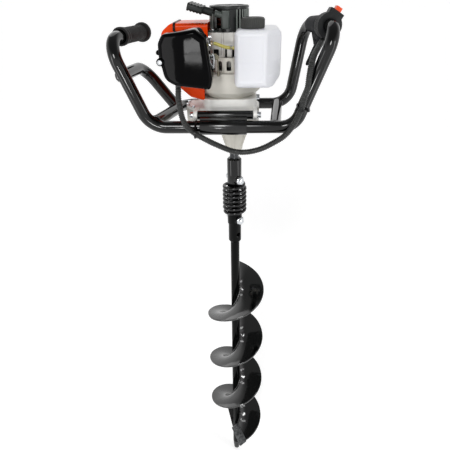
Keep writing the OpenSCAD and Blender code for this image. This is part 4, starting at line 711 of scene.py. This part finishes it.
def drill_flight():
    steps, thick = round(FLIGHT_TURNS * 120), 5.0
    radii = [11.05, 12.4, 13.8, 15.4, 17, 18.8, 20.6, 22.6, 25, 28, 35, 43, 51, 59, 66, 71.5, 74.2]
    loop = [(r, 0.0) for r in radii] + [(74.85, 0.7), (75, 2.5), (74.85, 4.3)]
    loop += [(r, thick) for r in radii[::-1]]
    verts = []
    for i in range(steps + 1):
        for r, lift in loop:
            p = flight_at(i / steps, r, lift)
            wave = noise.noise(p / 38) * 0.75 + noise.noise(p / 15 + Vector((9, 0, 0))) * 0.12
            dents = 0.5 + noise.noise(Vector((p.x, p.y, p.z * 0.3)) / 26)
            out = 1 - 0.004 * dents * smoothstep((r - 60) / 15)
            warp = noise.noise(p / 5 + Vector((0, 5, 0))) * 1.1 * (1 - smoothstep((r - 18) / 9))
            verts.append((p.x * out, p.y * out, p.z + wave * smoothstep((r - 11) / 20) + warp))
    faces = skin(steps + 1, len(loop)) + ends(steps + 1, len(loop))
    dress(clean(new_object("flight_plate", verts, faces), 40), "flight", "drill", "drill_flight")
    count, bead_at = 760, 11.9
    for name, lift, first, wide in (("weld_flight_top", 6.0, 0.0, 2.3),
                                    ("weld_flight_under", -1.0, 0.02, 1.9)):
        line = [flight_at(first + (1 - first) * k / count, bead_at, lift) for k in range(count + 1)]

        def bead(i, a):
            return wide * (1 + 0.17 * math.sin(i * 1.05) + 0.2 * noise.noise(line[i] * 0.13))

        dress(sweep(name, line, bead, 8), "weld", "drill")


# ---------------------------------------------------------------- engine
def offset(outline, d):
    """Moves a smooth closed outline inwards by d."""
    n = len(outline)
    out = []
    for i, p in enumerate(outline):
        a, c = outline[i - 1], outline[(i + 1) % n]
        t = (Vector(c) - Vector(a)).normalized()
        out.append(Vector((p[0] - t.y * d, p[1] + t.x * d)))
    return out


def even_outline(outline, step):
    """The same closed outline with points about step apart."""
    pts = [Vector((p[0], p[1], 0)) for p in outline] + [Vector((outline[0][0], outline[0][1], 0))]
    return [Vector((p.x, p.y)) for p in evenly(pts, step)[0][:-1]]


COVER = [(-62, 38.8), (-122, 30), (-130.5, 14), (-130.5, -8), (-121, -49), (-104, -57), (-37, -65),
         (-33, -46), (-42.5, 24)]
COVER_RADII = [9, 13, 14, 14, 18, 14, 6, 9, 11]
COVER_BACK, COVER_DEEP, COVER_WALL, COVER_EDGE = -106, 42, 2.5, 9.0


def air_filter_cover():
    corner = rounded([(x, z + Z_CYL) for x, z in COVER], COVER_RADII, 6)
    outline = even_outline(corner, 2.6)
    n = len(outline)
    centre = Vector((-84, Z_CYL - 9))

    def depth(x):
        """Depth of the front, which leans back to the left of its crease."""
        slack = -89 - x
        return COVER_DEEP - 0.431 * (slack + math.sqrt(slack * slack + 14)) / 2

    # rings of (inset, share of the depth, pull to the centre)
    rings = [(0.0, f, 0.0) for f in (0.0, 0.10, 0.4, 0.62)]
    for k in range(9):
        a = math.pi / 2 * k / 8
        rings.append((COVER_EDGE * (1 - math.cos(a)), 1 - COVER_EDGE / COVER_DEEP * (1 - math.sin(a)), 0.0))
    rings += [(COVER_EDGE, 1.0, k / 10) for k in range(1, 11)]
    verts = []
    for inset, f, pull in rings:
        for p in offset(outline, inset):
            q = p.lerp(centre, pull * 0.96)
            bulge = 0.3 * (1 - (1 - pull) ** 2)
            verts.append((q.x, COVER_BACK - depth(q.x) * f - bulge, q.y))
    inner = len(verts)
    faces = skin(len(rings), n) + [tuple(range(inner - n, inner))]
    for share in (0, 0.55):
        verts += [(p.x, COVER_BACK - depth(p.x) * share, p.y) for p in offset(outline, COVER_WALL)]
    for i in range(n):
        k = (i + 1) % n
        faces += [(i, k, inner + k, inner + i), (inner + i, inner + k, inner + n + k, inner + n + i)]
    faces.append(tuple(range(inner + n, inner + 2 * n)))
    shell = clean(new_object("cover_shell", verts, faces), 50)
    boss = revolve("cover_boss", [(0.05, 0), (7, 0), (7, 26.5), (6.4, 28.4), (5.6, 29), (0.05, 29)], 40,
                   axes((-127.5, COVER_BACK, Z_CYL - 17), (0, -1, 0)))
    lug = revolve("cover_lug", [(0.05, 0), (4.5, 0), (4.5, 15), (3.9, 16), (0.05, 16)], 32,
                  axes((-131.5, COVER_BACK, Z_CYL - 2), (0, -1, 0)))
    for part in (shell, boss, lug):
        part.data.materials.append(M["cover"])
    ob = join("filter_cover", [shell, boss, lug])
    dress(ob, None, "machine", "air_filter_cover")


def shroud():
    corner = [(-17.5, 1295.5), (-120, 1295.5), (-139.5, 1279.5), (-139.5, 1213.5), (-106, 1171),
              (-86, 1153.5), (-62, 1147.5), (-17.5, 1147.5)]
    outline = rounded(corner, [0, 18, 16, 18, 18, 14, 14, 0], 7)
    half, wall = 46, 2.5
    ob = prism("cowl", outline, -half, half, XZ)
    bevel(ob, 8, 5, 50)
    # the inside is open towards the engine
    inside = [Vector((p[0] + (10 if p[0] > -20 else 0), p[1])) for p in outline]
    hollow = [inside[i] if p[0] > -20 else p for i, p in enumerate(offset(inside, wall))]
    cuts = [prism("hollow", hollow, wall - half, half - wall, XZ),
            prism("open", rectangle(-47.5, -60, 32.5, 60), 1140, 1300),
            prism("open_low", rectangle(-57.5, -60, 22.5, 60), 1140, 1202),
            prism("fan_room", circle(ENGINE_X, 0, 64.3, 96), 1131, 1202.8)]
    for y in range(-24, 25, 12):
        cuts.append(prism("slot", rounded(rectangle(y - 3, 1226, y + 3, 1271), 2.9, 5), -150, -130, YZ))
    for x, low, high in ((-62, 30, 60), (-68, -60, -30)):
        cuts.append(prism("port", circle(x, Z_CYL, 13, 48), low, high, XZ))
    boolean(ob, cuts)
    clean(ob, 40)
    dress(ob, "orange", "machine", "shroud")
    # retaining strap over the shoulder
    path = [(-46.5, 1258), (-46.5, 1286.5), (-44.6, 1292), (-39, 1296.1), (39, 1296.1), (44.6, 1292),
            (46.5, 1286.5), (46.5, 1250)]
    path = rounded(path, 3, 4, closed=False)
    section = [(-114.4, 0), (-114.4, 1.0), (-113.8, 1.4), (-110.4, 1.4), (-109.8, 1.0), (-109.8, 0)]
    verts = []
    for i, p in enumerate(path):
        t = (path[min(len(path) - 1, i + 1)] - path[max(0, i - 1)]).normalized()
        for x, h in section:
            q = p + Vector((-t.y, t.x)) * (h - 0.5)
            verts.append((x, q.x, q.y))
    faces = skin(len(path), len(section)) + ends(len(path), len(section))
    dress(clean(new_object("cowl_strap", verts, faces), 40), "plastic", "machine")


def fuel_tank():
    x0, x1, y0, z0, z1, side, back, end = 5, 93, -108, 1183.5, 1286.5, 59, -46, 20
    cut_x, cut_y = 30, 42  # slanted side
    plan = rounded([(x0, y0), (x1 - cut_x, y0), (x1, y0 + cut_y), (x1, end), (side, end), (side, back),
                    (x0, back)], 11, 8)
    face = rounded([(x0, z0), (x1 - 15, z0), (x1, z0 + 18), (x1, z1), (x0, z1)], 12, 8)
    flank = rounded(rectangle(y0, z0, end, z1), 12, 8)
    ob = prism("tank", plan, z0 - 5, z1 + 5)
    boolean(ob, [prism("face", face, -40, 140, XZ), prism("flank", flank, -20, 120, YZ)], "INTERSECT")
    boolean(ob, prism("room", circle(ENGINE_X, 0, 66.4, 96), z0 - 1, 1205.5))
    boolean(ob, prism("neck", circle(*CAP_AT, 17.4, 48), z1 - 6, z1 + 11), "UNION")
    mod = ob.modifiers.new("grid", "REMESH")
    mod.mode = "VOXEL"
    mod.voxel_size = 1.5 * MM
    mod = ob.modifiers.new("soft", "SMOOTH")
    mod.factor = 0.5
    mod.iterations = 7
    settle(ob)
    # sunk panels on the front and the slanted side, seam round the middle
    panel_top, panel_edge, seam_z = 1275.5, 3.2, 1232
    slant = math.atan2(cut_y, cut_x) - math.pi / 2
    slope = Vector((math.cos(slant), math.sin(slant)))
    run = Vector((-slope.y, slope.x))
    corner = Vector((x1 - cut_x, y0))
    normals = [v.normal.copy() for v in ob.data.vertices]
    for v, normal in zip(ob.data.vertices, normals):
        x, y, z = (c / MM for c in v.co)
        push = Vector((0, 0, 0))
        if normal.y < -0.8:
            inside = min(x - 14.5, 58.5 - x, z - 1196, panel_top - z)
            push += Vector((0, 1.3, 0)) * smoothstep(inside / panel_edge + 0.5)
        along = (Vector((x, y)) - corner).dot(run)
        if normal.x * slope.x + normal.y * slope.y > 0.85:
            inside = min(along - 9, 48 - along, z - 1206, panel_top - z)
            push -= Vector((slope.x, slope.y, 0)) * 1.1 * smoothstep(inside / panel_edge + 0.5)
        push += normal * 0.3 * math.exp(-((z - seam_z) / 1.7) ** 2)
        v.co += push * MM
    clean(ob, 60)
    dress(ob, "tank", "machine", "fuel_tank")


def fuel_cap():
    ribs = 34

    def ripple(a, r, z):
        if r > 21.2 and 1288.5 < z < 1303:
            t = (a / (2 * math.pi) * ribs) % 1
            return 21.35 + 1.1 * smoothstep(1.7 - abs(t - 0.5) * 5)
        return r

    prof = [(17.6, 1286.9), (21.6, 1286.9), (21.9, 1287.5), (21.9, 1288.3), (21.6, 1289.2), (21.6, 1302.2),
            (21.4, 1303.4), (20.6, 1305), (19.4, 1305.7), (17.5, 1305.8), (16.6, 1305.2), (15.9, 1304.4),
            (8, 1304.3), (0.05, 1304.5)]
    ob = revolve("cap_shell", prof, 10 * ribs, axes((*CAP_AT, 0), (0, 0, 1), (1, 0, 0)), ripple)
    dress(ob, "cap", "cap", "fuel_cap")


def fuel_hose():
    route = [(-47, -75, 1262.5), (-40, -75, 1262.5), (-33, -75, 1262), (-24, -75, 1259), (-15, -75, 1255.8),
             (-6, -75, 1254), (1, -75, 1253.5), (8.5, -75, 1253.5)]
    line = evenly(spline(route, 10), 1.0)[0]
    dress(sweep("hose_line", line, 3.1, 16), "hose", "machine", "fuel_hose")
    # two turns of clamp wire near each end
    ring_r, wire_r = 3.9, 0.7
    parts = []
    for at in (9, 12, len(line) - 12, len(line) - 9):
        m = axes(line[at], (line[at + 1] - line[at - 1]).normalized())
        ring = []
        for k in range(29):
            a = 2 * math.pi * k / 26
            ring.append(m @ Vector((ring_r * math.cos(a), ring_r * math.sin(a), (k - 14) * 0.06)))
        parts.append(sweep("clamp", ring, wire_r, 8))
    for p in parts:
        p.data.materials.append(M["bright"])
    ob = join("hose_clamps", parts)
    dress(ob, None, "machine")


def starter():
    low, high = 1277.5, 1324.5

    def ribbed(deg):
        """The ribs go round the can, apart from the rope guide."""
        return deg > 292 or deg < 216

    def ripple(a, r, z):
        deg = math.degrees(a) % 360
        if r > 37.5 and low + 4.5 < z < high - 6.5 and ribbed(deg):
            t = (deg / 10) % 1
            return r - 1.3 + 2.6 * smoothstep(1.5 - abs(t - 0.5) * 5)
        return r

    def turned(degrees):
        m = Matrix.Rotation(math.radians(degrees), 4, "Z")
        m.translation = (ENGINE_X, 0, 0)
        return m

    prof = [(35, low), (38, low), (38, low + 4), (38, low + 5.5), (38, high - 7.5), (38, high - 6.9),
            (36.6, high - 6.6), (36.6, high - 5.6), (39.2, high - 5.3), (39.3, high - 2), (38.6, high - 0.6),
            (37.2, high), (30.5, high), (29.6, high - 1.2), (20, high - 1.2), (19, high - 0.3), (9, high),
            (7.5, high - 0.8), (0.05, high - 0.8), (0.05, high - 3), (35, high - 3), (35, low)]
    can = revolve("can", prof, 360, axes((ENGINE_X, 0, 0), (0, 0, 1), (1, 0, 0)), ripple)
    cuts = [prism("window", rectangle(-35, -46, -22, -26), low + 7, low + 30)]
    vent = rounded(rectangle(21.5, -1.7, 28.3, 1.7), 1.6, 4)
    cuts += [prism("vent", vent, high - 4, high + 2, turned(30 * k)) for k in range(12)]
    boolean(can, cuts)
    clean(can, 35)
    parts = [can]
    foot = rounded([(33, -6.5), (44, -7), (51, -7), (51, 7), (44, 7), (33, 6.5)], [1, 2, 6.9, 6.9, 2, 1], 7)
    for degrees in (45, 135, 225, 315):
        parts.append(clean(bevel(prism("foot", foot, low, low + 3, turned(degrees)), 0.6, 2)))
    guide = rounded(rectangle(-20, -50, -5, -26), [3, 3, 0, 0], 5)
    parts.append(clean(bevel(prism("guide", guide, low + 7, low + 39), 1.6, 3)))
    nozzle = [(2.5, 4), (5.5, 4), (5.5, 15.5), (6.2, 16.2), (6.2, 18.6), (5.2, 20), (3.2, 20), (2.5, 19),
              (2.5, 4)]
    parts.append(revolve("nozzle", nozzle, 40, axes(ROPE_EXIT, ROPE_DIR)))
    web = rounded(rectangle(-19, 1290, -6, 1303), 2, 4)
    parts.append(clean(bevel(prism("guide_web", web, 20, 34, XZ), 0.8, 2)))
    # the can body takes the darker copy of the starter grey, as painted shade
    for p in parts:
        p.data.materials.clear()
        p.data.materials.append(M["can" if p is can else "starter"])
    # painted highlight on the tops of the ribs, painted shade on the floors of the grooves
    can.data.materials.append(M["rib"])
    can.data.materials.append(M["groove_shade"])
    for f in can.data.polygons:
        x, y, z = (c / MM for c in f.center)
        x -= ENGINE_X
        r, deg = math.hypot(x, y), math.degrees(math.atan2(y, x)) % 360
        if r > 35.8 and low + 4.5 < z < high - 7 and ribbed(deg):
            f.material_index = 1 if r > 38.2 else 2
    ob = join("starter_can", parts)
    dress(ob, None, "machine", "starter_housing")


def crankcase():
    low, high = 1228, 1247
    cuts = []
    for x0, x1 in ((-38, -27), (-15, -11), (-1, 9), (19, 24)):
        slot = rounded(rectangle(x0, low, x1, high), [0, 0, 1.9, 1.9], 5)
        cuts.append(prism("groove", slot, 34, 60, XZ))
    ob = dress(edged("crankcase", 1.0, 3, cuts), "cast", "machine", "crankcase")
    # painted shade on the floors of the grooves
    ob.data.materials.append(M["groove_shade"])
    for f in ob.data.polygons:
        x, y, z = (c / MM for c in f.center)
        if low + 0.5 < z < high + 0.5 and -34.6 < y < -33.4 and -38.5 < x < 24.5 and f.normal.y < -0.9:
            f.material_index = 1


def linkage():
    """Bent plate and rod of the carburettor controls beside the filter, and the hose's union nut."""
    plate = [(-41, 1240), (-36, 1246), (-32.5, 1244), (-31.5, 1234), (-33.5, 1222), (-37, 1216),
             (-38.5, 1217), (-35.5, 1223), (-34, 1234), (-34.5, 1241.5), (-36.5, 1243), (-40, 1237.5)]
    strap = clean(bevel(prism("link_plate", rounded(plate, 0.7, 3), 88, 96, XZ), 0.4, 2))
    bend = [(-42, -84, 1243), (-34, -84, 1243.5), (-28.5, -84, 1242), (-27, -84, 1236),
            (-26.6, -83.5, 1222), (-26.2, -83, 1208)]
    rod = sweep("link_rod", evenly(spline(bend, 8), 0.8)[0], 1.5, 12)
    prof = rounded([(0.05, 0), (4.4, 0), (4.4, 5), (2.4, 5), (2.4, 8), (0.05, 8)], 0.5, 3, closed=False)
    hub = revolve("link_hub", prof, 32, axes((-28.5, -82, 1238), (0, -1, 0)))
    prof = rounded([(0.05, 0), (2.6, 0), (2.6, 9), (0.05, 9)], 0.7, 3, closed=False)
    foot = revolve("link_foot", prof, 24, axes((-26.2, -83, 1203), (0, 0, 1)))
    parts = [strap, rod, hub, foot]
    for p in parts:
        p.data.materials.append(M["bright" if p is strap else "link"])
    ob = join("carb_linkage", parts)
    dress(ob, None, "machine")
    nut = prism("union_nut", circle(0, 0, 4.6, 6), 0, 5, axes((-41.5, -75, 1262.5), (1, 0, 0)))
    dress(clean(bevel(nut, 0.5, 2)), "brass", "machine")


left_grip()
frame_welds()
coupling_spring()
starter_rope()
drill_flight()
air_filter_cover()
shroud()
fuel_tank()
fuel_cap()
fuel_hose()
starter()
crankcase()
linkage()
# CAD nodes that get rounded edges, with the width and steps of the rounding
for part, finish, width, steps in (
        ("throttle_housing", "lever", 1.0, 2),
        ("throttle_collar", "collar", 0.4, 2),
        ("throttle_lever", "lever", 0.9, 2),
        ("stop_button", "stop", 0.22, 2),
        ("front_mount_saddle", "saddle", 0.8, 2),
        ("rear_mount_saddle", "saddle", 0.8, 2),
        ("mount_bolts", "bright", 0.5, 2),
        ("gear_case", "cast_grey", 0.9, 3),
        # the clutch housing takes the paler copy of the cast alloy, as painted light
        ("clutch_housing", "cast_painted_light", 0.9, 3),
        ("fan_housing", "cast_grey", 0.8, 2),
        ("muffler", "muffler", 0.8, 2),
        ("upper_socket", "paint", 0.5, 2),
        ("lower_socket", "rod", 0.5, 2),
        ("upper_coupling_bolt", "bright", 0.5, 2),
        ("lower_coupling_bolt", "bright", 0.5, 2),
        ("cutter_bar", "worn", 0.9, 2),
        ("air_filter_base", "plastic", 1.2, 3),
        ("starter_handle", "handle", 0.7, 2),
        ("carburettor", "cast_grey", 0.7, 2),
        ("housing_screws", "bright", 0.5, 2),
        ("tank_mounts", "seal", 0.4, 2)):
    dress(edged(part, width, steps), finish, nodes[part]["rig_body"], part)


# ---------------------------------------------------------------- floor, world and lamps
def shown_ray(t):
    """1 for rays that see a surface in the picture, in a mirror or through glass."""
    path = t.nodes.new("ShaderNodeLightPath")
    last = path.outputs["Is Camera Ray"]
    for name in ("Is Glossy Ray", "Is Transmission Ray"):
        top = t.nodes.new("ShaderNodeMath")
        top.operation = "MAXIMUM"
        t.links.new(last, top.inputs[0])
        t.links.new(path.outputs[name], top.inputs[1])
        last = top.outputs["Value"]
    return last


def add_stage():
    world = bpy.data.worlds.new("studio")
    scene.world = world
    world.use_nodes = True
    t = world.node_tree
    back = t.nodes["Background"]
    back.inputs["Color"].default_value = (1, 1, 1, 1)
    level = t.nodes.new("ShaderNodeMapRange")
    level.inputs["To Min"].default_value = 0.36
    level.inputs["To Max"].default_value = 1.0
    t.links.new(shown_ray(t), level.inputs["Value"])
    # mirrors see a pale horizon and a dimmer ceiling
    place = t.nodes.new("ShaderNodeTexCoord")
    part = t.nodes.new("ShaderNodeSeparateXYZ")
    t.links.new(place.outputs["Generated"], part.inputs["Vector"])
    ceiling = t.nodes.new("ShaderNodeMapRange")
    ceiling.interpolation_type = "SMOOTHSTEP"
    ceiling.inputs["From Min"].default_value = 0.3
    ceiling.inputs["From Max"].default_value = 0.75
    ceiling.inputs["To Min"].default_value = 1.0
    ceiling.inputs["To Max"].default_value = 0.25
    t.links.new(part.outputs["Z"], ceiling.inputs["Value"])
    path = t.nodes.new("ShaderNodeLightPath")
    dim = t.nodes.new("ShaderNodeMix")
    dim.inputs["A"].default_value = 1.0
    t.links.new(path.outputs["Is Glossy Ray"], dim.inputs["Factor"])
    t.links.new(ceiling.outputs["Result"], dim.inputs["B"])
    both = t.nodes.new("ShaderNodeMath")
    both.operation = "MULTIPLY"
    t.links.new(level.outputs["Result"], both.inputs[0])
    t.links.new(dim.outputs["Result"], both.inputs[1])
    t.links.new(both.outputs["Value"], back.inputs["Strength"])

    reach = 60000
    corners = [(x, y, 0) for x, y in rectangle(-reach, -reach, reach, reach)]
    floor = new_object("floor", corners, [(0, 1, 2, 3)])
    m = bpy.data.materials.new("floor")
    m.use_nodes = True
    t = m.node_tree
    b = t.nodes["Principled BSDF"]
    b.inputs["Base Color"].default_value = (0.8, 0.8, 0.8, 1)
    b.inputs["Roughness"].default_value = 0.9
    b.inputs["Specular IOR Level"].default_value = 0.0
    b.inputs["Emission Color"].default_value = (1, 1, 1, 1)
    level = t.nodes.new("ShaderNodeMapRange")
    level.inputs["To Max"].default_value = 0.42
    t.links.new(shown_ray(t), level.inputs["Value"])
    t.links.new(level.outputs["Result"], b.inputs["Emission Strength"])
    floor.data.materials.append(m)

    def sun(name, towards, strength, size):
        data = bpy.data.lights.new(name, "SUN")
        data.energy = strength
        data.angle = math.radians(size)
        ob = bpy.data.objects.new(name, data)
        scene.collection.objects.link(ob)
        ob.rotation_euler = Vector(towards).to_track_quat("-Z", "Y").to_euler()
        return ob

    sun("key", (0.10, 0.82, -0.55), 0.9, 15)
    sun("fill", (-0.7, 0.3, -0.9), 0.45, 60).visible_glossy = False
    sun("rim", (0.2, -0.8, -0.7), 0.5, 45)

    def strip(name, place, target, width, length, power):
        data = bpy.data.lights.new(name, "AREA")
        data.shape = "RECTANGLE"
        data.size, data.size_y = width, length
        data.energy = power
        ob = bpy.data.objects.new(name, data)
        scene.collection.objects.link(ob)
        ob.location = place
        ob.rotation_euler = (Vector(target) - Vector(place)).to_track_quat("-Z", "Y").to_euler()

    strip("strip_left", (-1.6, -1.0, 1.0), (0, 0, 1.0), 0.3, 1.7, 7)
    strip("strip_right", (1.6, -0.9, 1.0), (0, 0, 1.0), 0.3, 1.7, 7)
    strip("card_high", (-0.31, -2.1, 1.06), (-0.06, -0.15, 1.26), 0.24, 0.12, 2.8)
    strip("card_low", (-0.31, -2.1, 0.965), (-0.06, -0.15, 1.26), 0.24, 0.05, 1.0)


add_stage()

bpy.context.view_layer.update()
